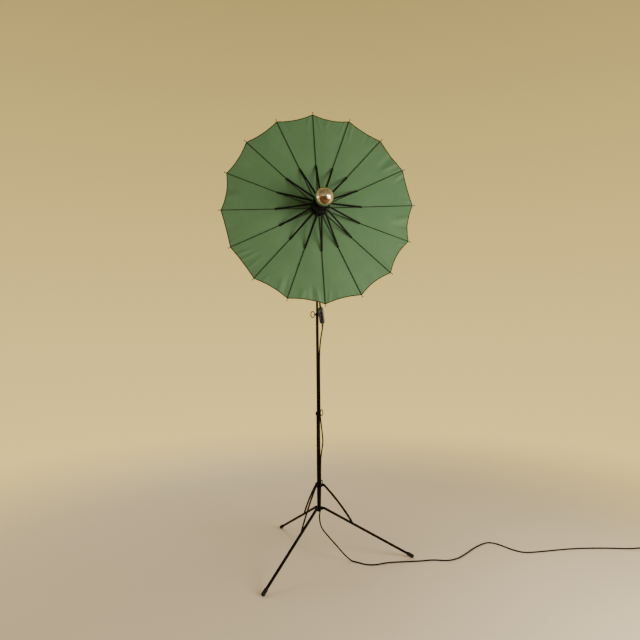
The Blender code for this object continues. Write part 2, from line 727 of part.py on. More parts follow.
def make_bulb(shade):
    """A hollow round crown-mirrored bulb with its screw cap in the socket."""
    cap = 0.0132
    wall = 0.0010
    vent = 0.0040
    back = BULB_AHEAD - 0.0834
    shoulder = BULB_AHEAD - 0.0494
    neck = 0.0165
    outside = [(vent, back), (cap, back + 0.006), (cap, shoulder)] + globe_points(BULB_RADIUS, neck, 8)
    inside = [(vent, back + wall), (cap - wall, back + 0.006 + wall), (cap - wall, shoulder + wall)]
    inside += globe_points(BULB_RADIUS - wall, neck - wall, 8)
    profile = [(0.0, BULB_AHEAD + BULB_RADIUS - wall)] + inside[::-1] + outside
    profile.append((0.0, BULB_AHEAD + BULB_RADIUS))
    part("bulb", finished_mesh(turned(profile, 20)), MIRROR_GLASS, shade, (0.0, 0.0, CROWN_AHEAD))


def cloth_rim(gore_share):
    """The radius of the cloth's edge, from 0 at a rib to 1 at the next one."""
    sag = 4.0 * gore_share * (1.0 - gore_share)
    return CLOTH_CORNER_RADIUS + (CLOTH_WAIST_RADIUS - CLOTH_CORNER_RADIUS) * sag


def cloth_front(radius):
    """The height of the cloth's front face at a radius along a rib."""
    crown_edge = CROWN_RADIUS + 0.0012
    free = 0.048
    if radius <= crown_edge:
        return CLOTH_AT_CROWN
    if radius >= free:
        return rib_height(radius) - CLOTH_BEHIND_RIB
    share = (radius - crown_edge) / (free - crown_edge)
    return CLOTH_AT_CROWN + share * (rib_height(free) - CLOTH_BEHIND_RIB - CLOTH_AT_CROWN)


def make_canopy(shade):
    """The cloth: sixteen gores behind the ribs, hollow-edged between the tips, with a hole at the hub."""
    per_gore = 4
    stations = [CLOTH_HOLE_RADIUS, CROWN_RADIUS + 0.0012, 0.048, 0.170, 0.300]
    columns = []
    for angle in rib_angles():
        for step in range(per_gore):
            share = step / per_gore
            turn = angle - 2.0 * pi * share / RIB_COUNT
            radii = stations + [cloth_rim(share)]
            column = [Vector(radial(r, turn, cloth_front(r))) for r in radii]
            column += [Vector(radial(r, turn, cloth_front(r) - CLOTH_THICKNESS)) for r in reversed(radii)]
            columns.append(column)
    part("canopy", finished_mesh(loft(columns, closed=True)), SHADE_CLOTH, shade, (0.0, 0.0, CROWN_AHEAD))


# ---------------------------------------------------------------- lead


def smooth_route(points):
    """Read a smooth curve through a lead's own points, none of it lower than the floor lets it lie."""
    steps = 6
    samples = []
    last = len(points) - 1
    for i in range(last):
        before = Vector(points[max(i - 1, 0)])
        start = Vector(points[i])
        end = Vector(points[i + 1])
        after = Vector(points[min(i + 2, last)])
        for k in range(steps):
            t = k / steps
            samples.append(0.5 * (2.0 * start + (end - before) * t
                                  + (2.0 * before - 5.0 * start + 4.0 * end - after) * t * t
                                  + (3.0 * start - before - 3.0 * end + after) * t * t * t))
    samples.append(Vector(points[-1]))
    for sample in samples:
        sample.z = max(sample.z, LEAD_ON_FLOOR)
    return samples


def thinned(samples, within):
    """Keep fewer samples where the curve runs straight, none dropped further than that from the line."""
    kept = [samples[0]]
    first = 0
    for end in range(2, len(samples)):
        span = samples[end] - samples[first]
        worst = 0.0
        for sample in samples[first + 1:end]:
            away = sample - samples[first]
            worst = max(worst, (away - span * (away.dot(span) / span.length_squared)).length)
        if worst > within:
            first = end - 1
            kept.append(samples[first])
    kept.append(samples[-1])
    return kept


def lead(name, points, parent):
    """A round lead along a smooth route."""
    samples = thinned(smooth_route(points), 0.3 * LEAD_RADIUS)
    curve = bpy.data.curves.new(name, "CURVE")
    curve.dimensions = "3D"
    curve.bevel_depth = LEAD_RADIUS
    curve.bevel_resolution = 2
    curve.use_fill_caps = True
    spline = curve.splines.new("POLY")
    spline.points.add(len(samples) - 1)
    for point, place in zip(spline.points, samples):
        point.co = (place.x, place.y, place.z, 1.0)
    curve.materials.append(surface(LEAD_BLACK))
    piece = bpy.data.objects.new(name, curve)
    bpy.context.scene.collection.objects.link(piece)
    piece.parent = parent


def switch_end(side):
    """Where the lead meets the switch: 1 at its top, -1 at its bottom."""
    reach = side * (SWITCH_LENGTH / 2.0 + GAP)
    return (SWITCH_X - reach * sin(SWITCH_LEAN), SWITCH_Y, SWITCH_Z + reach * cos(SWITCH_LEAN))


def make_leads(stand):
    """The short lead from the shade to the switch, and the long one down to the floor and the plug."""
    upper = [(0.0199, -0.0682, 1.5796), (0.0164, -0.0430, 1.5760), (0.0140, -0.0215, 1.5640),
             (0.0142, -0.0150, 1.5420), (0.0112, -0.0090, 1.5000), (0.0084, -0.0040, 1.4500),
             (0.0080, -0.0035, 1.3800), (0.0080, -0.0035, 1.2700), (0.0085, -0.0055, 1.2150),
             (0.0115, -0.0125, 1.1800), switch_end(1.0)]
    lead("lead_upper", upper, stand)
    floor = LEAD_ON_FLOOR
    lower = [switch_end(-1.0), (0.0230, -0.0150, 1.0500), (0.0187, -0.0140, 1.0270),
             (0.0147, -0.0115, 1.0000), (0.0108, -0.0075, 0.9600), (0.0085, -0.0053, 0.9000),
             (0.0085, -0.0062, 0.7500), (0.0092, -0.0142, 0.6625), (0.0165, -0.0135, 0.5880),
             (0.0204, -0.0125, 0.5320), (0.0135, -0.0128, 0.4850), (0.0092, -0.0132, 0.4350),
             (0.0080, -0.0168, 0.3325), (0.0050, -0.0170, 0.2265), (0.0018, -0.0185, 0.1900),
             (0.0110, -0.0215, 0.1450), (0.0440, -0.0270, 0.1030), (0.0790, -0.0340, 0.0660),
             (0.1130, -0.0420, 0.0290), (0.1470, -0.0520, floor), (0.1770, -0.0700, floor),
             (0.2080, -0.0890, floor), (0.2480, -0.0920, floor), (0.3010, -0.0740, floor),
             (0.3540, -0.0660, floor), (0.4430, -0.0590, floor), (0.5100, -0.0490, floor),
             (0.5710, -0.0550, floor), (0.6080, -0.0450, floor), (0.6440, -0.0200, floor),
             (0.6870, 0.0260, floor), (0.7380, 0.0840, floor), (0.7860, 0.1270, floor),
             (0.8200, 0.1440, floor), (0.8500, 0.1330, floor), (0.8770, 0.1020, floor),
             (0.9060, 0.0600, floor), (0.9390, 0.0310, floor), (0.9730, 0.0240, floor),
             (1.0400, 0.0340, floor), (1.2000, 0.0620, floor), (1.3500, 0.0640, floor),
             (1.4500, PLUG_Y, 0.0050), (PLUG_X - 0.030, PLUG_Y, PLUG_HEIGHT),
             (PLUG_X - GAP, PLUG_Y, PLUG_HEIGHT)]
    lead("lead_lower", lower, stand)


def make_switch(stand):
    """The oval in-line switch and the rocker in its face."""
    tilt = (0.0, -SWITCH_LEAN, 0.0)
    centre = (SWITCH_X, SWITCH_Y, SWITCH_Z)
    half_width = SWITCH_WIDTH / 2.0
    straight = SWITCH_LENGTH / 2.0 - half_width
    outline = arc((0.0, straight), half_width, 0, 180, 8) + arc((0.0, -straight), half_width, 180, 360, 8)
    half = SWITCH_THICKNESS / 2.0
    rings = []
    for y, inset in ((-half, 0.0035), (-half + 0.002, 0.0008), (-half + 0.005, 0.0), (half - 0.005, 0.0),
                     (half - 0.002, 0.0008), (half, 0.0035)):
        shrink = 1.0 - inset / half_width
        rings.append([Vector((x * shrink, y, z - z * inset * 2.0 / SWITCH_LENGTH)) for x, z in outline])
    body = loft(rings)
    window = block((-0.0058, -half - 0.01, -0.0125), (0.0058, -half + ROCKER_DEPTH + 0.0035, 0.0125))
    cut(body, window)
    part("switch_body", finished_mesh(body), PLASTIC_BLACK, stand, centre, tilt)
    side = [(-0.0115, -0.0040), (0.0, -0.0026), (0.0115, -0.0040), (0.0115, -0.0004), (0.0, 0.0020),
            (-0.0115, -0.0004)]
    rocker = plate(side, -0.0054, 0.0054)
    across_to_x = Matrix(((0, 1, 0, 0), (0, 0, 1, 0), (1, 0, 0, 0), (0, 0, 0, 1)))
    rocker.data.transform(across_to_x)
    turn = Matrix.Rotation(-SWITCH_LEAN, 4, "Y")
    spot = Vector(centre) + turn @ Vector((0.0, -half + ROCKER_DEPTH, 0.0))
    rest = (ROCKER_THROW, -SWITCH_LEAN, 0.0)
    part("switch_rocker", finished_mesh(rocker), PLASTIC_BLACK, stand, spot, rest)


def make_plug(stand):
    """A flat two-pin plug that lies on the floor at the lead's end."""
    outline = [(0.0, 0.0042), (0.006, 0.0055), (0.014, 0.0120), (0.032, 0.0135), (0.036, 0.0115)]
    rings = []
    for x, half_width in outline:
        half = min(0.0068, half_width)
        ring = []
        for k in range(12):
            angle = 2.0 * pi * (k + 0.5) / 12
            y = half_width * max(-0.9, min(0.9, 1.15 * cos(angle)))
            z = half * max(-0.9, min(0.9, 1.15 * sin(angle)))
            ring.append(Vector((x, y, z)))
        rings.append(ring)
    plug = loft(rings)
    for side in (-1.0, 1.0):
        y = side * 0.0093
        join(plug, pin((0.035, y, 0.0), (0.055, y, 0.0), 0.0020, 8))
    part("plug", finished_mesh(plug), PLASTIC_BLACK, stand, (PLUG_X, PLUG_Y, PLUG_HEIGHT))


def build():
    """Make the whole lamp."""
    clear_scene()
    stand = axis("stand_axis", place=(STAND_X, STAND_Y, 0.0))
    head = axis("head_axis", stand, (0.0, 0.0, HEAD_HEIGHT), (0.0, 0.0, SHADE_YAW))
    shade = axis("shade_axis", head, turn=(pi / 2.0 - SHADE_TILT, 0.0, 0.0))
    make_lower_tube(stand)
    make_legs(stand)
    make_collar(stand)
    make_thumb_screws(stand)
    make_middle_tube(stand)
    make_upper_tube(stand)
    make_yoke(head)
    make_tilt_knob(head)
    make_shade_hub(shade)
    make_ribs(shade)
    make_runner(shade)
    make_lamp_holder(shade)
    make_bulb(shade)
    make_canopy(shade)
    make_leads(stand)
    make_switch(stand)
    make_plug(stand)


build()
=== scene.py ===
"""The looks of the umbrella floor lamp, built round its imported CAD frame."""

from math import cos, exp, pi, radians, sin

import bmesh
import bpy
from mathutils import Matrix, Vector


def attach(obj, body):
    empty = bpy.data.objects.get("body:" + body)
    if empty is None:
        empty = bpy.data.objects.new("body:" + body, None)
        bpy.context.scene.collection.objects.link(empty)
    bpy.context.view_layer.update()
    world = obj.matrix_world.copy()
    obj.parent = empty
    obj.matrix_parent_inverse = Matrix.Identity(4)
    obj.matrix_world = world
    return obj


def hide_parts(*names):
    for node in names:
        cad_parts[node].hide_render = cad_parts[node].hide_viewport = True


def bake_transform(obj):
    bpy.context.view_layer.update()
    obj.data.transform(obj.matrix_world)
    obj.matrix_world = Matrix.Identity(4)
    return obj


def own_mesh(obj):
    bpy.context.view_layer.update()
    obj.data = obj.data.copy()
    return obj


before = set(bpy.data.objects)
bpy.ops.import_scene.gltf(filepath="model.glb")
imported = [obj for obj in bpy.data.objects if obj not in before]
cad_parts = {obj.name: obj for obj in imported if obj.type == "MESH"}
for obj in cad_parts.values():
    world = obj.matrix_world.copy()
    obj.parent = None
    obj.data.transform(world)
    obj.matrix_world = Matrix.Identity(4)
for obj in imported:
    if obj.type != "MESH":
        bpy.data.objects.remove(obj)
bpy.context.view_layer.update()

# The pole, the head and the shade's frame, as in the CAD
STAND = Vector((-0.0132, -0.0059, 0.0))
HEAD_HEIGHT = 1.5835
SHADE_YAW = radians(8.2)
SHADE_TILT = radians(5.0)
CROWN_AHEAD = 0.094
RIB_COUNT = 16
FIRST_RIB_ANGLE = radians(92.5)
RIB_HINGE_RADIUS = 0.030
TIP_RADIUS = 0.444
RIB_SWEEP = 0.005
BULB_AHEAD = 0.1630
BULB_RADIUS = 0.040
BULB_WALL = 0.0008
MIRROR_EDGE = 96.0
FILAMENT_TURNS = 12.0
FILAMENT_STEPS = 48

# Cloth
CORNER_RADIUS = 0.4335
CROWN_CLOTH_RADIUS = 0.0372
HOLE_RADIUS = 0.0078
CLOTH_AT_CROWN = -0.0054
CLOTH_BEHIND_RIB = 0.0027
CLOTH_THICKNESS = 0.0006
DRAWN_FORWARD = 0.0009
FOLD_LENGTH = 0.80
FOLD_HEIGHT = 1.1
FOLD_WIDTH = 0.85
HEM_PROUD = 0.00035
SEAM_PROUD = 0.0006
SEAM_START = 0.09
GORE_HALF = pi / RIB_COUNT
# How far each gore's edge is drawn in from a straight line between its corners
HOLLOWS = [0.012, 0.006, 0.004, 0.003, 0.013, 0.014, 0.012, 0.008,
           0.008, 0.008, 0.003, 0.002, 0.012, 0.009, 0.008, 0.009]

# Lead, switch and plug
LEAD_RADIUS = 0.0032
LEAD_STEPS = 8
SWITCH = Vector((0.0197, -0.0150, 1.114))
SWITCH_LEAN = radians(7.0)
SWITCH_LENGTH = 0.080
SWITCH_WIDTH = 0.025
SWITCH_THICKNESS = 0.017
SWITCH_ROUNDING = 0.0052
ROCKER_THROW = radians(8.0)
GAP = 0.0003
PLUG = Vector((1.530, 0.052, 0.0072))

# Ring-handled thumb screws
RING_HALF_WIDTH = 0.0086
RING_HALF_HEIGHT = 0.0142
RING_WIRE_RADIUS = 0.0021
RING_NECK = 0.0046
WIDE_SLEEVE_RADIUS = 0.0125
NARROW_SLEEVE_RADIUS = 0.0076

SHADE_TURN = Matrix.Rotation(SHADE_YAW, 4, "Z") @ Matrix.Rotation(pi / 2.0 - SHADE_TILT, 4, "X")
HEAD = STAND + Vector((0.0, 0.0, HEAD_HEIGHT))
TO_SHADE = Matrix.Translation(HEAD) @ SHADE_TURN @ Matrix.Translation((0.0, 0.0, CROWN_AHEAD))
TO_STAND = Matrix.Translation(STAND)


# ---------------------------------------------------------------- camera, light and floor


def make_camera():
    """The photograph's viewpoint: about a metre off the floor and square on to the pole."""
    data = bpy.data.cameras.new("camera")
    data.sensor_width = 36.0
    data.lens = 31.5
    camera = bpy.data.objects.new("camera", data)
    bpy.context.scene.collection.objects.link(camera)
    turn = Matrix.Rotation(radians(90.43), 4, "X") @ Matrix.Rotation(radians(-0.58), 4, "Z")
    camera.matrix_world = Matrix.Translation((STAND.x + 0.0130, STAND.y - 2.5874, 1.0738)) @ turn
    bpy.context.scene.camera = camera


def area_light(name, place, target, size, power, colour):
    """A square softbox aimed at a point."""
    data = bpy.data.lights.new(name, "AREA")
    data.shape = "SQUARE"
    data.size = size
    data.energy = power
    data.color = colour
    light = bpy.data.objects.new(name, data)
    bpy.context.scene.collection.objects.link(light)
    light.location = place
    light.rotation_euler = (Vector(target) - Vector(place)).to_track_quat("-Z", "Y").to_euler()


def make_lights():
    """A large low window at the right, a weak fill at the left and a pale room, brighter behind."""
    area_light("key", (1.75, -1.50, 1.22), (0.0, -0.1, 1.35), 1.3, 62.0, (1.0, 0.94, 0.83))
    area_light("fill", (-2.5, -0.5, 1.5), (0.0, 0.0, 1.2), 0.7, 6.0, (1.0, 0.95, 0.86))
    area_light("back", (-1.2, 2.6, 2.8), (0.0, 0.0, 1.1), 1.8, 42.0, (1.0, 0.95, 0.90))
    world = bpy.data.worlds.new("room")
    world.use_nodes = True
    nodes = world.node_tree.nodes
    links = world.node_tree.links
    direction = nodes.new("ShaderNodeTexCoord").outputs["Generated"]
    split = nodes.new("ShaderNodeSeparateXYZ")
    links.new(direction, split.inputs[0])
    depth = nodes.new("ShaderNodeMapRange")
    depth.inputs["From Min"].default_value = -0.2
    depth.inputs["From Max"].default_value = 0.8
    links.new(split.outputs["Y"], depth.inputs["Value"])
    tone = nodes.new("ShaderNodeValToRGB")
    tone.color_ramp.elements[0].color = (0.42, 0.34, 0.20, 1.0)
    tone.color_ramp.elements[1].color = (1.02, 0.75, 0.235, 1.0)
    links.new(depth.outputs["Result"], tone.inputs["Fac"])
    shade = nodes.new("ShaderNodeMapRange")
    shade.inputs["From Min"].default_value = -0.25
    shade.inputs["From Max"].default_value = 0.5
    shade.inputs["To Min"].default_value = 1.30
    shade.inputs["To Max"].default_value = 0.58
    links.new(split.outputs["Z"], shade.inputs["Value"])
    shader = nodes["Background"]
    links.new(tone.outputs["Color"], shader.inputs["Color"])
    links.new(shade.outputs["Result"], shader.inputs["Strength"])
    bpy.context.scene.world = world


# ---------------------------------------------------------------- materials


class Recipe:
    """Builds one node material step by step."""

    def __init__(self, name):
        self.material = bpy.data.materials.new(name)
        self.material.use_nodes = True
        self.nodes = self.material.node_tree.nodes
        self.links = self.material.node_tree.links
        self.shader = self.nodes["Principled BSDF"]
        self.place = self.nodes.new("ShaderNodeTexCoord").outputs["Object"]

    def set(self, **values):
        """Set the shader's inputs by name, with _ for a space."""
        for name, value in values.items():
            self.shader.inputs[name.replace("_", " ")].default_value = value
        return self

    def noise(self, scale, detail=3.0, stretch=None):
        """Noise in object space, its features about 1/scale metres across."""
        texture = self.nodes.new("ShaderNodeTexNoise")
        texture.inputs["Scale"].default_value = scale
        texture.inputs["Detail"].default_value = detail
        source = self.place
        if stretch:
            mapping = self.nodes.new("ShaderNodeMapping")
            mapping.inputs["Scale"].default_value = stretch
            self.links.new(source, mapping.inputs["Vector"])
            source = mapping.outputs["Vector"]
        self.links.new(source, texture.inputs["Vector"])
        return texture.outputs["Fac"]

    def ramp(self, factor, low, high, start=0.3, end=0.7):
        """Colours or grey values spread over a factor."""
        ramp = self.nodes.new("ShaderNodeValToRGB")
        ramp.color_ramp.elements[0].position = start
        ramp.color_ramp.elements[1].position = end
        for element, value in zip(ramp.color_ramp.elements, (low, high)):
            element.color = value if isinstance(value, tuple) else (value, value, value, 1.0)
        self.links.new(factor, ramp.inputs["Fac"])
        return ramp.outputs["Color"]

    def colour(self, output):
        """Drive the base colour."""
        self.links.new(output, self.shader.inputs["Base Color"])
        return self

    def roughness(self, output):
        """Drive the roughness."""
        self.links.new(output, self.shader.inputs["Roughness"])
        return self

    def bump(self, *heights):
        """Stack bumps, each a height output with its depth in metres."""
        last = None
        for height, distance in heights:
            node = self.nodes.new("ShaderNodeBump")
            node.inputs["Strength"].default_value = 1.0
            node.inputs["Distance"].default_value = distance
            self.links.new(height, node.inputs["Height"])
            if last:
                self.links.new(last, node.inputs["Normal"])
            last = node.outputs["Normal"]
        self.links.new(last, self.shader.inputs["Normal"])
        return self


def worn_material(name, dark, light, rough_low, rough_high, metallic, grain, depth, specular=0.5):
    """Paint, plastic, rubber or plate: slow colour change, uneven gloss and a fine grain."""
    recipe = Recipe(name).set(Metallic=metallic, Specular_IOR_Level=specular)
    recipe.colour(recipe.ramp(recipe.noise(14.0, 4.0), dark, light))
    recipe.roughness(recipe.ramp(recipe.noise(45.0, 4.0), rough_low, rough_high))
    recipe.bump((recipe.noise(grain, 2.0), depth), (recipe.noise(grain * 0.12, 2.0), depth * 2.0))
    return recipe.material


def brushed_material(name, dark, light):
    """Nickel plate with light polishing marks and dull, brownish patches."""
    recipe = Recipe(name).set(Metallic=1.0)
    recipe.colour(recipe.ramp(recipe.noise(60.0, 5.0), dark, light))
    recipe.roughness(recipe.ramp(recipe.noise(140.0, 4.0), 0.22, 0.45))
    recipe.bump((recipe.noise(400.0, 2.0, stretch=(1.0, 1.0, 8.0)), 0.00004))
    return recipe.material


def weave_height(recipe, threads_per_metre):
    """A plain weave: two crossed sets of fine threads in object space."""
    waves = []
    for direction in ("X", "Z"):
        wave = recipe.nodes.new("ShaderNodeTexWave")
        wave.bands_direction = direction
        wave.inputs["Scale"].default_value = threads_per_metre / 20.0 * pi
        wave.inputs["Distortion"].default_value = 0.6
        wave.inputs["Detail"].default_value = 1.0
        recipe.links.new(recipe.place, wave.inputs["Vector"])
        waves.append(wave.outputs["Fac"])
    blend = recipe.nodes.new("ShaderNodeMath")
    blend.operation = "MAXIMUM"
    recipe.links.new(waves[0], blend.inputs[0])
    recipe.links.new(waves[1], blend.inputs[1])
    return blend.outputs["Value"]


def cloth_material():
    """Satin-faced green umbrella cloth."""
    recipe = Recipe("cloth").set(Sheen_Weight=0.15, Sheen_Roughness=0.4, Specular_IOR_Level=0.3)
    recipe.shader.inputs["Sheen Tint"].default_value = (0.75, 0.95, 0.62, 1.0)
    dark = (0.077, 0.168, 0.076, 1.0)
    light = (0.092, 0.193, 0.089, 1.0)
    recipe.colour(recipe.ramp(recipe.noise(9.0, 5.0), dark, light))
    recipe.roughness(recipe.ramp(recipe.noise(70.0, 4.0), 0.50, 0.62))
    recipe.bump((weave_height(recipe, 2200.0), 0.00005), (recipe.noise(38.0, 3.0), 0.0006))
    return recipe.material


def make_materials():
    """Every look, by name."""
    return {
        "paint": worn_material("paint", (0.004, 0.004, 0.0038, 1.0), (0.010, 0.0095, 0.0085, 1.0),
                               0.42, 0.58, 0.0, 900.0, 0.00003, 0.05),
        "lacquer": worn_material("lacquer", (0.004, 0.004, 0.0038, 1.0), (0.009, 0.0085, 0.0075, 1.0),
                                 0.48, 0.64, 0.0, 700.0, 0.00003, 0.05),
        "rib": worn_material("rib", (0.012, 0.017, 0.007, 1.0), (0.024, 0.031, 0.014, 1.0),
                             0.48, 0.64, 0.0, 500.0, 0.00003, 0.05),
        "rubber": worn_material("rubber", (0.008, 0.008, 0.0075, 1.0), (0.020, 0.018, 0.016, 1.0),
                                0.70, 0.90, 0.0, 1200.0, 0.00008, 0.10),
        "plastic": worn_material("plastic", (0.005, 0.005, 0.0055, 1.0), (0.011, 0.011, 0.0115, 1.0),
                                 0.16, 0.30, 0.0, 600.0, 0.00002, 0.34),
        "gloss": worn_material("gloss", (0.006, 0.006, 0.0065, 1.0), (0.013, 0.013, 0.0135, 1.0),
                               0.20, 0.32, 0.0, 600.0, 0.00002, 0.75),
        "lead": worn_material("lead", (0.005, 0.0045, 0.004, 1.0), (0.012, 0.0105, 0.009, 1.0),
                              0.45, 0.60, 0.0, 800.0, 0.00004, 0.03),
        "nickel": brushed_material("nickel", (0.014, 0.009, 0.004, 1.0), (0.075, 0.052, 0.029, 1.0)),
        "brass": brushed_material("brass", (0.42, 0.30, 0.13, 1.0), (0.62, 0.47, 0.24, 1.0)),
        "hem": worn_material("hem", (0.012, 0.019, 0.007, 1.0), (0.022, 0.032, 0.012, 1.0),
                             0.55, 0.70, 0.0, 1500.0, 0.00006, 0.05),
        "cloth": cloth_material(),
        "mirror": mirror_material(),
        "glass": glass_material(),
        "filament": worn_material("filament", (0.16, 0.15, 0.14, 1.0), (0.30, 0.28, 0.25, 1.0),
                                  0.30, 0.45, 1.0, 900.0, 0.00002),
    }


def mirror_material():
    """The bulb's silvered crown: pale gold, with a painted reflection of a brown floor low on its front.
    """
    recipe = Recipe("mirror").set(Metallic=1.0)
    centre = TO_SHADE @ Vector((0.0, 0.0, BULB_AHEAD))
    # Mask of the painted floor reflection: below the globe's centre and within a spot low on its front.
    split = recipe.nodes.new("ShaderNodeSeparateXYZ")
    recipe.links.new(recipe.place, split.inputs[0])
    level = recipe.nodes.new("ShaderNodeMapRange")
    level.interpolation_type = "SMOOTHSTEP"
    level.inputs["From Min"].default_value = centre.z - 0.0075
    level.inputs["From Max"].default_value = centre.z - 0.0035
    recipe.links.new(split.outputs["Z"], level.inputs["Value"])
    away = recipe.nodes.new("ShaderNodeVectorMath")
    away.operation = "DISTANCE"
    away.inputs[1].default_value = centre + Vector((0.001, -0.034, -0.020))
    recipe.links.new(recipe.place, away.inputs[0])
    edge = recipe.nodes.new("ShaderNodeMapRange")
    edge.interpolation_type = "SMOOTHSTEP"
    edge.inputs["From Min"].default_value = 0.018
    edge.inputs["From Max"].default_value = 0.024
    recipe.links.new(away.outputs["Value"], edge.inputs["Value"])
    clear = recipe.nodes.new("ShaderNodeMath")
    clear.operation = "MAXIMUM"
    recipe.links.new(level.outputs["Result"], clear.inputs[0])
    recipe.links.new(edge.outputs["Result"], clear.inputs[1])
    # Painted reflection: a brown colour that stands in for the floor mirrored in the crown.
    painted_floor_reflection = recipe.ramp(recipe.noise(110.0, 3.0), (0.10, 0.046, 0.017, 1.0), (0.30, 0.17, 0.085, 1.0))
    silver = recipe.ramp(recipe.noise(55.0, 5.0), (0.66, 0.55, 0.37, 1.0), (0.97, 0.89, 0.72, 1.0),
                         0.38, 0.62)
    mix = recipe.nodes.new("ShaderNodeMixRGB")
    recipe.links.new(clear.outputs["Value"], mix.inputs["Fac"])
    recipe.links.new(painted_floor_reflection, mix.inputs["Color1"])
    recipe.links.new(silver, mix.inputs["Color2"])
    recipe.colour(mix.outputs["Color"])
    recipe.roughness(recipe.ramp(recipe.noise(90.0, 3.0), 0.13, 0.22))
    recipe.bump((recipe.noise(34.0, 2.0), 0.0022))
    return recipe.material


def glass_material():
    """Clear bulb glass."""
    recipe = Recipe("glass").set(IOR=1.5)
    recipe.shader.inputs["Transmission Weight"].default_value = 1.0
    recipe.shader.inputs["Base Color"].default_value = (0.97, 0.95, 0.90, 1.0)
    recipe.roughness(recipe.ramp(recipe.noise(50.0, 3.0), 0.01, 0.05))
    return recipe.material


# ---------------------------------------------------------------- mesh helpers


def new_piece(name, bm, material, smooth_below=35.0):
    """A piece in the row frame from a bmesh already in place."""
    bmesh.ops.recalc_face_normals(bm, faces=bm.faces)
    mesh = bpy.data.meshes.new(name)
    bm.to_mesh(mesh)
    bm.free()
    mesh.shade_smooth()
    mesh.set_sharp_from_angle(angle=radians(smooth_below))
    mesh.materials.append(material)
    piece = bpy.data.objects.new(name, mesh)
    bpy.context.scene.collection.objects.link(piece)
    return piece


def add_rings(bm, rings, closed=False, caps=True):
    """Skin equal rings of points; one-point rings make a pointed end."""
    loops = [[bm.verts.new(point) for point in ring] for ring in rings]
    pairs = list(zip(loops, loops[1:]))
    if closed:
        pairs.append((loops[-1], loops[0]))
    for near, far in pairs:
        sides = max(len(near), len(far))
        for i in range(sides):
            j = (i + 1) % sides
            if len(near) == 1:
                bm.faces.new((near[0], far[j], far[i]))
            elif len(far) == 1:
                bm.faces.new((near[i], near[j], far[0]))
            else:
                bm.faces.new((near[i], near[j], far[j], far[i]))
    if caps and not closed:
        for end in (loops[0], loops[-1]):
            if len(end) > 2:
                bm.faces.new(end)


def turned_rings(profile, sides, place):
    """Rings of a profile of (radius, z) points turned about Z and moved by a matrix."""
    rings = []
    for radius, z in profile:
        if radius == 0.0:
            rings.append([place @ Vector((0.0, 0.0, z))])
            continue
        angles = [2.0 * pi * k / sides for k in range(sides)]
        rings.append([place @ Vector((radius * cos(a), radius * sin(a), z)) for a in angles])
    return rings


def turned_piece(name, profile, sides, place, material, closed=False):
    """A turned piece."""
    bm = bmesh.new()
    add_rings(bm, turned_rings(profile, sides, place), closed)
    return new_piece(name, bm, material)


def sweep_rings(points, radii, sides):
    """Rings round a line of points, without twist."""
    rings = []
    side = None
    for i, point in enumerate(points):
        along = (points[min(i + 1, len(points) - 1)] - points[max(i - 1, 0)]).normalized()
        if side is None:
            side = along.orthogonal().normalized()
        side = (side - along * side.dot(along)).normalized()
        other = along.cross(side)
        radius = radii[i]
        angles = [2.0 * pi * k / sides for k in range(sides)]
        rings.append([point + radius * (side * cos(a) + other * sin(a)) for a in angles])
    return rings


def swept_piece(name, points, radii, sides, material):
    """A round bar along a line of points, with a radius for each."""
    bm = bmesh.new()
    add_rings(bm, sweep_rings(points, radii, sides))
    return new_piece(name, bm, material, 50.0)


# ---------------------------------------------------------------- lead

UPPER_ROUTE = [(0.0199, -0.0682, 1.5796), (0.0164, -0.0430, 1.5760), (0.0140, -0.0215, 1.5640),
               (0.0142, -0.0150, 1.5420), (0.0112, -0.0090, 1.5000), (0.0084, -0.0040, 1.4500),
               (0.0080, -0.0035, 1.3800), (0.0080, -0.0035, 1.2700), (0.0085, -0.0055, 1.2150),
               (0.0115, -0.0125, 1.1800)]
FLOOR = LEAD_RADIUS + 0.0001
LOWER_ROUTE = [(0.0230, -0.0150, 1.0500), (0.0187, -0.0140, 1.0270), (0.0147, -0.0115, 1.0000),
               (0.0108, -0.0075, 0.9600), (0.0085, -0.0053, 0.9000), (0.0085, -0.0062, 0.7500),
               (0.0092, -0.0142, 0.6625), (0.0165, -0.0135, 0.5880), (0.0204, -0.0125, 0.5320),
               (0.0135, -0.0128, 0.4850), (0.0092, -0.0132, 0.4350), (0.0080, -0.0168, 0.3325),
               (0.0050, -0.0170, 0.2265), (0.0018, -0.0185, 0.1900), (0.0110, -0.0215, 0.1450),
               (0.0440, -0.0270, 0.1030), (0.0790, -0.0340, 0.0660), (0.1130, -0.0420, 0.0290),
               (0.1470, -0.0520, FLOOR), (0.1770, -0.0700, FLOOR), (0.2080, -0.0890, FLOOR),
               (0.2480, -0.0920, FLOOR), (0.3010, -0.0740, FLOOR), (0.3540, -0.0660, FLOOR),
               (0.4430, -0.0590, FLOOR), (0.5100, -0.0490, FLOOR), (0.5710, -0.0550, FLOOR),
               (0.6080, -0.0450, FLOOR), (0.6440, -0.0200, FLOOR), (0.6870, 0.0260, FLOOR),
               (0.7380, 0.0840, FLOOR), (0.7860, 0.1270, FLOOR), (0.8200, 0.1440, FLOOR),
               (0.8500, 0.1330, FLOOR), (0.8770, 0.1020, FLOOR), (0.9060, 0.0600, FLOOR),
               (0.9390, 0.0310, FLOOR), (0.9730, 0.0240, FLOOR), (1.0400, 0.0340, FLOOR),
               (1.2000, 0.0620, FLOOR), (1.3500, 0.0640, FLOOR), (1.4500, PLUG.y, 0.0050),
               (PLUG.x - 0.030, PLUG.y, PLUG.z), (PLUG.x - GAP, PLUG.y, PLUG.z)]


def switch_end(side):
    """Where the lead meets the switch: 1 at its top, -1 at its bottom."""
    reach = side * (SWITCH_LENGTH / 2.0 + GAP)
    return (SWITCH.x - reach * sin(SWITCH_LEAN), SWITCH.y, SWITCH.z + reach * cos(SWITCH_LEAN))


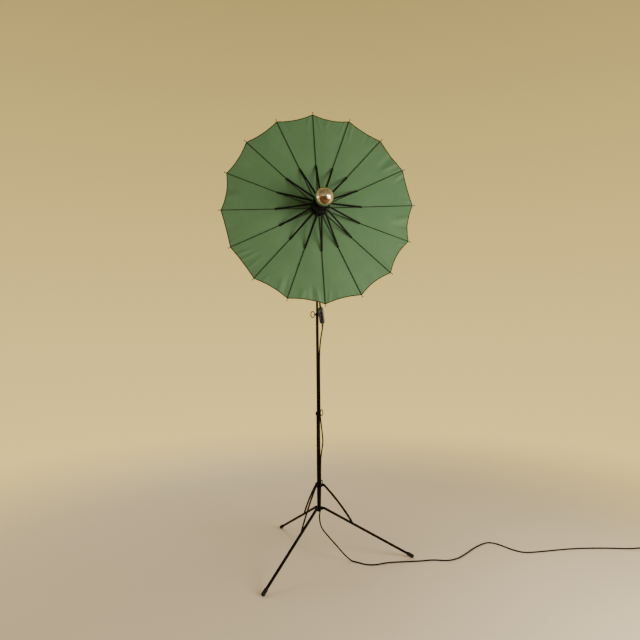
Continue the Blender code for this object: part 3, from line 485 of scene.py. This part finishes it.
def smooth_route(points):
    """A stretch of the lead's centre line, in the row frame."""
    samples = []
    last = len(points) - 1
    for i in range(last):
        before = Vector(points[max(i - 1, 0)])
        start = Vector(points[i])
        end = Vector(points[i + 1])
        after = Vector(points[min(i + 2, last)])
        for k in range(LEAD_STEPS):
            t = k / LEAD_STEPS
            samples.append(0.5 * (2.0 * start + (end - before) * t
                                  + (2.0 * before - 5.0 * start + 4.0 * end - after) * t * t
                                  + (3.0 * start - before - 3.0 * end + after) * t * t * t))
    samples.append(Vector(points[-1]))
    for sample, height in zip(samples, eased_heights(samples)):
        sample.z = height
    return [STAND + sample for sample in samples]


def eased_heights(samples):
    """The heights of a line of points, kept off the floor and rounded where the line lands on it."""
    heights = [max(sample.z, FLOOR) for sample in samples]
    for _ in range(6):
        inner = [(a + 2.0 * b + c) / 4.0 for a, b, c in zip(heights, heights[1:], heights[2:])]
        heights = heights[:1] + inner + heights[-1:]
    return [max(height, FLOOR) for height in heights]


def upper_path():
    """The lead from the shade's hub to the switch."""
    return smooth_route(UPPER_ROUTE + [switch_end(1.0)])


def lower_path():
    """The lead from the switch to the plug."""
    return smooth_route([switch_end(-1.0)] + LOWER_ROUTE)


def lead_piece(name, points, material, stands_for=()):
    """One stretch of the lead."""
    piece = swept_piece(name, points, [LEAD_RADIUS] * len(points), 14, material)
    if stands_for:
        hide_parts(*stands_for)
    return piece


def make_leads(looks):
    """The lead, cut where it bends with a joint, so that no stretch tears when the lamp moves."""
    upper = upper_path()
    at_fork = 3 * LEAD_STEPS
    at_tube = 4 * LEAD_STEPS
    tilting = lead_piece("lead_at_hub", upper[:at_fork + 1], looks["lead"], ["lead_upper"])
    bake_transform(tilting)
    turning = lead_piece("lead_at_head", upper[at_fork:at_tube + 1], looks["lead"])
    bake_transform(turning)
    sliding = lead_piece("lead_to_switch", upper[at_tube:], looks["lead"])
    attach(sliding, "middle_post")
    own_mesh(sliding)
    lower = lower_path()
    at_collar = 12 * LEAD_STEPS
    switch = make_switch(looks)
    hanging = lead_piece("lead_down_pole", lower[:at_collar + 1], looks["lead"], ["lead_lower"])
    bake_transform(hanging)
    plug = make_plug(looks)
    laid = lead_piece("lead_on_floor", lower[at_collar:], looks["lead"])
    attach(laid, "lower_post")


def make_plug_body(place, looks):
    """The plug's flat moulded body, narrow where the lead enters it."""
    bm = bmesh.new()
    stations = [(0.0004, 0.0034, 0.0034), (0.004, 0.0042, 0.0042), (0.008, 0.0052, 0.0047),
                (0.011, 0.0078, 0.0054), (0.014, 0.0108, 0.0061), (0.018, 0.0124, 0.0066),
                (0.026, 0.0130, 0.0068), (0.0320, 0.0133, 0.0068), (0.0350, 0.0127, 0.0062),
                (0.0360, 0.0115, 0.0052)]
    rings = []
    for x, half_width, half in stations:
        ring = []
        for k in range(32):
            angle = 2.0 * pi * k / 32
            y = half_width * max(-1.0, min(1.0, 1.12 * cos(angle)))
            z = half * max(-1.0, min(1.0, 1.12 * sin(angle)))
            ring.append(place @ Vector((x, y, z)))
        rings.append(ring)
    add_rings(bm, rings)
    plug = new_piece("plug_body", bm, looks["plastic"], 40.0)
    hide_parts("plug")
    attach(plug, "lower_post")
    return plug


def make_plug(looks):
    """A flat plug with two round pins."""
    place = Matrix.Translation(STAND + PLUG)
    plug = make_plug_body(place, looks)
    for number, side in enumerate((-1.0, 1.0), start=1):
        start = place @ Vector((0.0355, side * 0.0093, 0.0))
        turn = Matrix.Translation(start) @ Matrix.Rotation(pi / 2.0, 4, "Y")
        profile = [(0.0, 0.0), (0.0020, 0.0), (0.0020, 0.018), (0.0014, 0.0194), (0.0, 0.0195)]
        prong = turned_piece(f"plug_pin_{number}", profile, 20, turn, looks["nickel"])
        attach(prong, "lower_post")
        prong.parent = plug
        prong.matrix_parent_inverse = Matrix.Identity(4)
    return plug


# ---------------------------------------------------------------- canopy

# One soft fold each: gore, place across it at the rim and further in (0 at its first rib, 1 at its
# second), where it starts along the gore, height in metres, width in metres
FOLDS = [
    (1, 0.10, 0.30, 0.70, 0.0016, 0.007),
    (1, 0.42, 0.36, 0.80, 0.0022, 0.012),
    (1, 0.90, 0.80, 0.66, 0.0013, 0.006),
    (2, 0.10, 0.22, 0.62, 0.0020, 0.008),
    (2, 0.62, 0.70, 0.76, -0.0016, 0.012),
    (2, 0.92, 0.84, 0.72, 0.0012, 0.006),
    (3, 0.50, 0.62, 0.60, -0.0034, 0.016),
    (3, 0.74, 0.72, 0.66, 0.0030, 0.012),
    (3, 0.93, 0.88, 0.80, 0.0014, 0.005),
    (4, 0.07, 0.16, 0.78, 0.0020, 0.006),
    (4, 0.17, 0.30, 0.80, -0.0018, 0.007),
    (4, 0.88, 0.80, 0.82, 0.0012, 0.007),
    (5, 0.36, 0.46, 0.72, 0.0034, 0.015),
    (5, 0.60, 0.62, 0.70, -0.0040, 0.015),
    (5, 0.92, 0.84, 0.80, 0.0010, 0.006),
    (6, 0.10, 0.22, 0.80, 0.0010, 0.007),
    (6, 0.90, 0.80, 0.74, 0.0018, 0.006),
    (6, 0.80, 0.70, 0.80, -0.0012, 0.007),
    (7, 0.08, 0.18, 0.78, 0.0015, 0.006),
    (7, 0.50, 0.50, 0.84, 0.0012, 0.016),
    (7, 0.92, 0.84, 0.82, 0.0011, 0.006),
    (8, 0.12, 0.20, 0.80, -0.0012, 0.009),
    (8, 0.60, 0.62, 0.84, 0.0014, 0.014),
    (8, 0.90, 0.80, 0.78, 0.0018, 0.007),
    (9, 0.16, 0.26, 0.74, 0.0036, 0.011),
    (9, 0.34, 0.40, 0.72, -0.0026, 0.012),
    (9, 0.66, 0.62, 0.80, 0.0026, 0.014),
    (10, 0.12, 0.22, 0.62, -0.0018, 0.011),
    (10, 0.28, 0.36, 0.72, 0.0022, 0.012),
    (10, 0.80, 0.72, 0.82, 0.0014, 0.010),
    (11, 0.30, 0.28, 0.62, 0.0018, 0.010),
    (11, 0.58, 0.48, 0.64, 0.0028, 0.009),
    (11, 0.76, 0.64, 0.66, 0.0026, 0.009),
    (12, 0.10, 0.20, 0.80, 0.0010, 0.008),
    (12, 0.52, 0.50, 0.76, -0.0016, 0.018),
    (12, 0.90, 0.82, 0.78, 0.0012, 0.007),
    (13, 0.40, 0.44, 0.74, 0.0030, 0.015),
    (13, 0.62, 0.60, 0.78, -0.0018, 0.014),
    (13, 0.92, 0.82, 0.76, 0.0016, 0.006),
    (14, 0.44, 0.50, 0.74, 0.0024, 0.016),
    (14, 0.78, 0.66, 0.62, 0.0014, 0.012),
    (14, 0.93, 0.86, 0.80, 0.0016, 0.005),
    (15, 0.12, 0.20, 0.80, 0.0012, 0.007),
    (15, 0.50, 0.56, 0.70, 0.0020, 0.010),
    (15, 0.68, 0.72, 0.72, 0.0018, 0.009),
    (16, 0.07, 0.16, 0.74, 0.0018, 0.005),
    (16, 0.17, 0.28, 0.76, -0.0012, 0.006),
    (16, 0.90, 0.78, 0.78, 0.0020, 0.007),
]


def rib_angle(number):
    """The direction of a rib about the shade's axis, counted clockwise from the top one."""
    return FIRST_RIB_ANGLE - 2.0 * pi * (number - 1) / RIB_COUNT


def rib_height(radius):
    """How far a rib has swept forward at a radius."""
    return RIB_SWEEP * ((radius / TIP_RADIUS) ** 2 - (RIB_HINGE_RADIUS / TIP_RADIUS) ** 2)


def ease(value):
    """A smooth step from 0 to 1."""
    value = max(0.0, min(1.0, value))
    return value * value * (3.0 - 2.0 * value)


def rim_radius(gore, share):
    """The hollow edge of a gore, from 0 at its first rib to 1 at its second."""
    sag = 4.0 * share * (1.0 - share)
    return CORNER_RADIUS - (CORNER_RADIUS * (1.0 - cos(GORE_HALF)) + HOLLOWS[gore - 1]) * sag


def fold_height(gore, share, along, radius):
    """The sum of a gore's folds at one point."""
    total = 0.0
    for owner, at_rim, at_start, start, height, width in FOLDS:
        start = 1.0 - FOLD_LENGTH * (1.0 - start)
        if owner != gore or along <= start:
            continue
        run = (along - start) / (1.0 - start)
        line = at_start + (at_rim - at_start) * run
        across = (share - line) * 2.0 * GORE_HALF * radius
        grow = ease(run * 1.4) * (1.0 - 0.25 * run)
        total += FOLD_HEIGHT * height * grow * exp(-((across / (FOLD_WIDTH * width)) ** 2))
    side = min(share, 1.0 - share) * 2.0 * GORE_HALF * radius
    return total * ease(side / 0.011)


def cloth_height(gore, share, radius, rim):
    """The cloth's front face: behind the ribs, drawn a little forward between them, with its folds."""
    away = min(share, 1.0 - share) * 2.0 * GORE_HALF
    chord = radius * cos(GORE_HALF - away) / cos(GORE_HALF)
    free = rib_height(chord) - CLOTH_BEHIND_RIB
    along = max(0.0, (radius - 0.048) / (rim - 0.048))
    free += DRAWN_FORWARD * sin(pi * share) ** 2 * along * (1.0 - along) * 4.0
    free += fold_height(gore, share, along, radius)
    return CLOTH_AT_CROWN + ease((radius - CROWN_CLOTH_RADIUS) / 0.012) * (free - CLOTH_AT_CROWN)


def panel_point(number, offset, row_share):
    """A point of the cloth's front face: offset from -1 to 1 across a rib's panel, row_share along it."""
    if offset < 0.0:
        gore, share = number, -offset / 2.0
    else:
        gore, share = (number - 2) % RIB_COUNT + 1, 1.0 - offset / 2.0
    rim = rim_radius(gore, share)
    radius = HOLE_RADIUS + (rim - HOLE_RADIUS) * row_share
    angle = rib_angle(number) + offset * GORE_HALF
    return Vector((radius * cos(angle), radius * sin(angle), cloth_height(gore, share, radius, rim)))


def panel_columns():
    """Where the columns of a panel stand, closer together at the seam."""
    half = [0.012, 0.028, 0.055] + [0.055 + 0.945 * k / 18.0 for k in range(1, 19)]
    return [-f for f in reversed(half)] + [0.0] + half


def panel_rows():
    """Where the rows of a panel stand, closer together at the crown and the rim."""
    crown = [0.0, 0.025, 0.048, 0.069, 0.079, 0.090, 0.102, 0.13]
    body = [0.13 + 0.85 * (1.0 - (1.0 - k / 24.0) ** 1.5) for k in range(1, 25)]
    return crown + body + [0.9865, 0.9900, 0.9945, 1.0]


def cloth_normal(number, offset, row):
    """The direction that the cloth's front face looks in, in the shade's frame."""
    step = 0.002
    side = panel_point(number, min(1.0, offset + step), row) - panel_point(number, offset - step, row)
    ahead = panel_point(number, offset, min(1.0, row + step))
    ahead -= panel_point(number, offset, max(0.0, row - step))
    return ahead.cross(side).normalized()


def panel_grid(bm, number, rows, columns):
    """The points of a panel's front and back, row by row, and the normals to shade them with."""
    turn = TO_SHADE.to_3x3()
    fronts = []
    backs = []
    normals = []
    for row in rows:
        front_row = []
        back_row = []
        for offset in columns:
            here = panel_point(number, offset, row)
            normal = cloth_normal(number, offset, row)
            hem = HEM_PROUD if row > 0.988 else 0.0
            seam = SEAM_PROUD if abs(offset) < 0.02 and row > SEAM_START else 0.0
            front_row.append(bm.verts.new(TO_SHADE @ (here + normal * hem)))
            normals.append(turn @ normal)
            back_row.append(bm.verts.new(TO_SHADE @ (here - normal * (CLOTH_THICKNESS + hem + seam))))
            normals.append(turn @ -normal)
        fronts.append(front_row)
        backs.append(back_row)
    return fronts, backs, normals


def skin_panel(bm, fronts, backs, rows, columns):
    """Skin a panel's grid, and give the hem and the back of the seam the second material."""
    last_row = len(rows) - 1
    last = len(columns) - 1
    hem_faces = []
    for j in range(last_row):
        for i in range(last):
            front = bm.faces.new((fronts[j][i], fronts[j + 1][i], fronts[j + 1][i + 1], fronts[j][i + 1]))
            back = bm.faces.new((backs[j][i], backs[j][i + 1], backs[j + 1][i + 1], backs[j + 1][i]))
            if rows[j] > 0.989:
                hem_faces += [front, back]
            elif rows[j] > SEAM_START and abs(columns[i] + columns[i + 1]) < 0.013:
                hem_faces.append(back)
        bm.faces.new((fronts[j][0], backs[j][0], backs[j + 1][0], fronts[j + 1][0]))
        bm.faces.new((fronts[j][last], fronts[j + 1][last], backs[j + 1][last], backs[j][last]))
    for i in range(last):
        bm.faces.new((fronts[0][i], fronts[0][i + 1], backs[0][i + 1], backs[0][i]))
        edge = (fronts[last_row][i], backs[last_row][i], backs[last_row][i + 1], fronts[last_row][i + 1])
        hem_faces.append(bm.faces.new(edge))
    for face in hem_faces:
        face.material_index = 1


def make_panel(number, looks):
    """The cloth round one rib, from the middle of one gore to the middle of the next."""
    columns = panel_columns()
    rows = panel_rows()
    bm = bmesh.new()
    fronts, backs, normals = panel_grid(bm, number, rows, columns)
    skin_panel(bm, fronts, backs, rows, columns)
    panel = new_piece(f"canopy_panel_{number:02d}", bm, looks["cloth"], 60.0)
    panel.data.materials.append(looks["hem"])
    panel.data.normals_split_custom_set_from_vertices([tuple(n) for n in normals])
    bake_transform(panel)
    return panel


def make_canopy(looks):
    """All sixteen panels of the cloth."""
    for number in range(1, RIB_COUNT + 1):
        panel = make_panel(number, looks)
        if number == 1:
            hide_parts("canopy")


# ---------------------------------------------------------------- bulb


def globe_arc(radius, start, end, steps):
    """Points of a globe's profile between two angles from its front pole, in degrees."""
    angles = [radians(start + (end - start) * k / steps) for k in range(steps + 1)]
    return [(radius * sin(a), radius * cos(a)) for a in angles]


def make_globe(centre, looks):
    """The silvered crown, the clear back half with its neck, and the brass cap."""
    inside_radius = BULB_RADIUS - BULB_WALL
    outer = globe_arc(BULB_RADIUS, 0.0, MIRROR_EDGE, 28)
    inner = globe_arc(inside_radius, MIRROR_EDGE, 0.0, 28)
    crown = turned_piece("bulb_crown", outer + inner, 72, centre, looks["mirror"])
    neck_out = [(0.0165, -0.0399), (0.0145, -0.0444), (0.0134, -0.0484), (0.0132, -0.0534)]
    neck_in = [(0.0124, -0.0534), (0.0126, -0.0484), (0.0137, -0.0442), (0.0157, -0.0397)]
    outside = globe_arc(BULB_RADIUS, MIRROR_EDGE, 152.0, 22) + neck_out
    inside = neck_in + globe_arc(inside_radius, 152.5, MIRROR_EDGE, 22)
    glass = turned_piece("bulb_glass", outside + inside, 72, centre, looks["glass"], closed=True)
    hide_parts("bulb")
    profile = [(0.0128, -0.0774), (0.0130, -0.0539), (0.0118, -0.0534), (0.0118, -0.0764)]
    cap = turned_piece("bulb_cap", profile, 48, centre, looks["brass"], closed=True)
    return [crown, glass, cap]


def coil_points(centre):
    """The filament's fine coil between its two supports, bowed towards the front."""
    points = []
    for k in range(FILAMENT_STEPS + 1):
        share = k / FILAMENT_STEPS
        angle = share * 2.0 * pi * FILAMENT_TURNS
        bow = 0.0022 * (1.0 - (2.0 * share - 1.0) ** 2)
        points.append(centre @ Vector((-0.0130 + 0.0260 * share, 0.0006 * cos(angle),
                                       0.0006 + bow + 0.0006 * sin(angle))))
    return points


def make_filament(centre, looks):
    """The glass stem inside the globe, two support wires and the filament between them."""
    stem = [(0.0, -0.0654), (0.0090, -0.0654), (0.0060, -0.0554), (0.0038, -0.0434), (0.0032, -0.0254),
            (0.0040, -0.0224), (0.0, -0.0204)]
    pieces = [turned_piece("bulb_stem", stem, 32, centre, looks["glass"])]
    for number, side in enumerate((-1.0, 1.0), start=1):
        route = [(side * 0.0018, 0.0, -0.0224), (side * 0.0050, 0.0, -0.0104),
                 (side * 0.0130, 0.0, 0.0006)]
        points = [centre @ Vector(p) for p in route]
        pieces.append(swept_piece(f"bulb_support_{number}", points, [0.0004] * 3, 8, looks["filament"]))
    points = coil_points(centre)
    pieces.append(swept_piece("bulb_filament", points, [0.00022] * len(points), 6, looks["filament"]))
    return pieces


def make_bulb(looks):
    """A globe bulb with a silvered crown; heights count from the globe's centre."""
    centre = TO_SHADE @ Matrix.Translation((0.0, 0.0, BULB_AHEAD))
    for piece in make_globe(centre, looks) + make_filament(centre, looks):
        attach(piece, "shade")


# ---------------------------------------------------------------- screws, switch and sleeves


def ring_of_wire(place):
    """The rings of points of an oval wire loop that stands beside a screw's head."""
    rings = []
    for k in range(56):
        angle = 2.0 * pi * k / 56
        reach_out = RING_NECK + RING_HALF_WIDTH * (1.0 + cos(angle))
        middle = Vector((reach_out, 0.0, RING_HALF_HEIGHT * sin(angle)))
        outward = Vector((cos(angle) * RING_HALF_HEIGHT, 0.0, sin(angle) * RING_HALF_WIDTH)).normalized()
        ring = []
        for step in range(14):
            turn = 2.0 * pi * step / 14
            direction = outward * cos(turn) + Vector((0.0, sin(turn), 0.0))
            ring.append(place @ (middle + RING_WIRE_RADIUS * direction))
        rings.append(ring)
    return rings


def shank_profile():
    """The threaded end and the round neck of a screw, as (radius, z) points."""
    profile = [(0.0, -0.0014), (0.0019, -0.0014)]
    for k in range(7):
        profile += [(0.0022, -0.0012 + k * 0.00066), (0.0018, -0.0009 + k * 0.00066)]
    neck = [(0.0021, 0.0036), (0.0029, 0.0040), (0.0029, 0.0050), (0.0022, 0.0056), (0.0, 0.0057)]
    return profile + neck


def make_ring_screw(name, height, azimuth, seat, looks):
    """A thumb screw with an open oval ring of bent wire.  It rides on the body of its own name."""
    place = TO_STAND @ Matrix.Translation((0.0, 0.0, height)) @ Matrix.Rotation(azimuth, 4, "Z")
    place = place @ Matrix.Translation((seat, 0.0, 0.0))
    bm = bmesh.new()
    add_rings(bm, ring_of_wire(place), closed=True)
    ring = new_piece(f"{name}_ring", bm, looks["nickel"], 60.0)
    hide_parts(name)
    along_x = place @ Matrix.Rotation(pi / 2.0, 4, "Y")
    shank = turned_piece(f"{name}_shank", shank_profile(), 24, along_x, looks["nickel"])
    for piece in (ring, shank):
        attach(piece, name)


def stadium(half_width, half_length, steps):
    """A closed outline with round ends, as (x, z) points."""
    points = []
    straight = half_length - half_width
    for centre, start in ((straight, 0.0), (-straight, pi)):
        for k in range(steps + 1):
            angle = start + pi * k / steps
            points.append((half_width * cos(angle), centre + half_width * sin(angle)))
    return points


def shell_profile():
    """How far the switch's outline is drawn in at each level through it, as (y, inset) points."""
    half = SWITCH_THICKNESS / 2.0
    angles = [pi / 2.0 * k / 6 for k in range(6, -1, -1)]
    face = [(-half + SWITCH_ROUNDING * (1.0 - sin(a)), SWITCH_ROUNDING * (1.0 - cos(a))) for a in angles]
    seam = [(-0.0006, 0.0), (-0.0003, 0.0004), (0.0003, 0.0004), (0.0006, 0.0)]
    return face + seam + [(-y, inset) for y, inset in reversed(face)]


def cut_pocket(shell, place, looks):
    """Cut the rocker's pocket into the switch's front face."""
    front = -SWITCH_THICKNESS / 2.0
    outline = stadium(0.0058, 0.0125, 10)
    bm = bmesh.new()
    levels = (front - 0.01, front + 0.0070)
    add_rings(bm, [[place @ Vector((x, y, z)) for x, z in outline] for y in levels])
    cutter = new_piece("pocket", bm, looks["plastic"])
    modifier = shell.modifiers.new("pocket", "BOOLEAN")
    modifier.operation = "DIFFERENCE"
    modifier.solver = "EXACT"
    modifier.object = cutter
    graph = bpy.context.evaluated_depsgraph_get()
    shell.data = bpy.data.meshes.new_from_object(shell.evaluated_get(graph))
    shell.modifiers.clear()
    bpy.data.objects.remove(cutter)


def make_shell(place, looks):
    """The switch's rounded two-part shell."""
    bm = bmesh.new()
    rings = []
    for y, inset in shell_profile():
        outline = stadium(SWITCH_WIDTH / 2.0 - inset, SWITCH_LENGTH / 2.0 - inset, 20)
        rings.append([place @ Vector((x, y, z)) for x, z in outline])
    add_rings(bm, rings)
    shell = new_piece("switch_shell", bm, looks["gloss"], 30.0)
    cut_pocket(shell, place, looks)
    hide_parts("switch_body")
    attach(shell, "middle_post")
    return shell


def make_rocker(place, looks):
    """The rocker, hollowed for a fingertip and tipped to one of its two positions."""
    spot = place @ Matrix.Translation((0.0, -SWITCH_THICKNESS / 2.0 + 0.0035, 0.0))
    spot = spot @ Matrix.Rotation(ROCKER_THROW, 4, "X")
    across = [(-0.0054, 0.88), (-0.0050, 0.97), (-0.0042, 1.0),
              (0.0042, 1.0), (0.0050, 0.97), (0.0054, 0.88)]
    outline = [(-0.0114, -0.0034), (-0.0108, -0.0039), (-0.0090, -0.0038), (-0.0045, -0.0030),
               (0.0, -0.0026), (0.0045, -0.0030), (0.0090, -0.0038), (0.0108, -0.0039),
               (0.0114, -0.0034), (0.0114, -0.0006), (0.0, 0.0018), (-0.0114, -0.0006)]
    bm = bmesh.new()
    rings = []
    for x, shrink in across:
        rings.append([spot @ Vector((x, y * shrink, z * (0.5 + 0.5 * shrink))) for z, y in outline])
    add_rings(bm, rings)
    rocker = new_piece("switch_button", bm, looks["plastic"], 30.0)
    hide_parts("switch_rocker")
    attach(rocker, "switch_rocker")
    return rocker


def make_switch(looks):
    """The oval in-line switch."""
    place = TO_STAND @ Matrix.Translation(SWITCH) @ Matrix.Rotation(-SWITCH_LEAN, 4, "Y")
    return [make_shell(place, looks), make_rocker(place, looks)]


def sleeve(name, points, wide, narrow, looks):
    """A tapered, ringed strain relief round the first stretch of a lead."""
    count = len(points)
    radii = []
    for k in range(count):
        share = k / (count - 1)
        groove = 0.0003 if k % 3 == 2 and k < count - 2 else 0.0
        radii.append(wide + (narrow - wide) * share - groove)
    piece = swept_piece(name, points, radii, 20, looks["plastic"])
    return piece


def along_route(points, length, count):
    """Evenly spaced points over the first stretch of a line."""
    found = [points[0]]
    travelled = 0.0
    for a, b in zip(points, points[1:]):
        span = (b - a).length
        while len(found) < count and travelled + span >= length * len(found) / (count - 1) - 1e-9:
            share = (length * len(found) / (count - 1) - travelled) / span
            found.append(a.lerp(b, share))
        travelled += span
    return found


def make_sleeves(looks):
    """Strain reliefs at the shade's hub, at both ends of the switch and at the plug."""
    upper = upper_path()
    lower = lower_path()
    at_hub = sleeve("sleeve_at_hub", along_route(upper, 0.0200, 14), 0.0042, 0.0032, looks)
    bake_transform(at_hub)
    above = sleeve("sleeve_above_switch", along_route(upper[::-1], 0.0240, 16), 0.0052, 0.0033, looks)
    below = sleeve("sleeve_below_switch", along_route(lower, 0.0240, 16), 0.0052, 0.0033, looks)
    at_plug = sleeve("sleeve_at_plug", along_route(lower[::-1], 0.0240, 16), 0.0044, 0.0033, looks)
    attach(above, "middle_post")
    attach(below, "middle_post")
    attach(at_plug, "lower_post")


# ---------------------------------------------------------------- CAD pieces kept as they are

KEPT = {"lower_tube": "paint", "middle_tube": "paint", "upper_tube": "paint", "leg_": "paint",
        "foot_": "rubber", "brace_": "lacquer", "tripod_collar": "lacquer", "tilt_yoke": "paint",
        "tilt_knob": "plastic", "shade_hub": "paint", "rib_": "rib", "stretcher_": "lacquer",
        "runner": "plastic", "lamp_holder": "plastic"}


def dress_frame(looks):
    """Give each CAD piece that stays in view its finished material."""
    for name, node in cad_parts.items():
        for start, look in KEPT.items():
            if name.startswith(start):
                node.data.materials.clear()
                node.data.materials.append(looks[look])


# ---------------------------------------------------------------- floor


def make_floor():
    """A pale plain floor with painted light, its colour lighter away from the lamp, that fades out into
    the room.
    """
    bm = bmesh.new()
    add_rings(bm, turned_rings([(9.0, 0.0), (0.0, 0.0)], 64, Matrix.Identity(4)), caps=False)
    recipe = Recipe("floor")
    near = recipe.ramp(recipe.noise(1.5, 4.0), (0.68, 0.60, 0.46, 1.0), (0.72, 0.63, 0.49, 1.0))
    recipe.roughness(recipe.ramp(recipe.noise(30.0, 3.0), 0.72, 0.85))
    recipe.bump((recipe.noise(260.0, 3.0), 0.0004))
    sphere = recipe.nodes.new("ShaderNodeVectorMath")
    sphere.operation = "LENGTH"
    recipe.links.new(recipe.place, sphere.inputs[0])
    spread = recipe.nodes.new("ShaderNodeMapRange")
    spread.inputs["From Min"].default_value = 0.3
    spread.inputs["From Max"].default_value = 2.0
    recipe.links.new(sphere.outputs["Value"], spread.inputs["Value"])
    # Painted light: the floor's colour grows lighter with distance from the lamp, standing in for light
    # on the far floor.
    tone = recipe.nodes.new("ShaderNodeMixRGB")
    tone.inputs["Color2"].default_value = (0.98, 0.87, 0.66, 1.0)
    recipe.links.new(spread.outputs["Result"], tone.inputs["Fac"])
    recipe.links.new(near, tone.inputs["Color1"])
    recipe.colour(tone.outputs["Color"])
    fade = recipe.nodes.new("ShaderNodeMapRange")
    fade.interpolation_type = "SMOOTHSTEP"
    fade.inputs["From Min"].default_value = 1.25
    fade.inputs["From Max"].default_value = 3.3
    fade.inputs["To Min"].default_value = 1.0
    fade.inputs["To Max"].default_value = 0.0
    recipe.links.new(sphere.outputs["Value"], fade.inputs["Value"])
    recipe.links.new(fade.outputs["Result"], recipe.shader.inputs["Alpha"])
    floor = new_piece("floor", bm, recipe.material)


looks = make_materials()
make_camera()
make_leads(looks)
make_canopy(looks)
make_bulb(looks)
make_ring_screw("collar_screw", 0.3335, radians(58.4), WIDE_SLEEVE_RADIUS, looks)
make_ring_screw("middle_clamp_screw", 0.6625, radians(50.0), WIDE_SLEEVE_RADIUS, looks)
make_ring_screw("upper_clamp_screw", 1.119, radians(180.0), NARROW_SLEEVE_RADIUS, looks)
make_sleeves(looks)
dress_frame(looks)
make_lights()
make_floor()
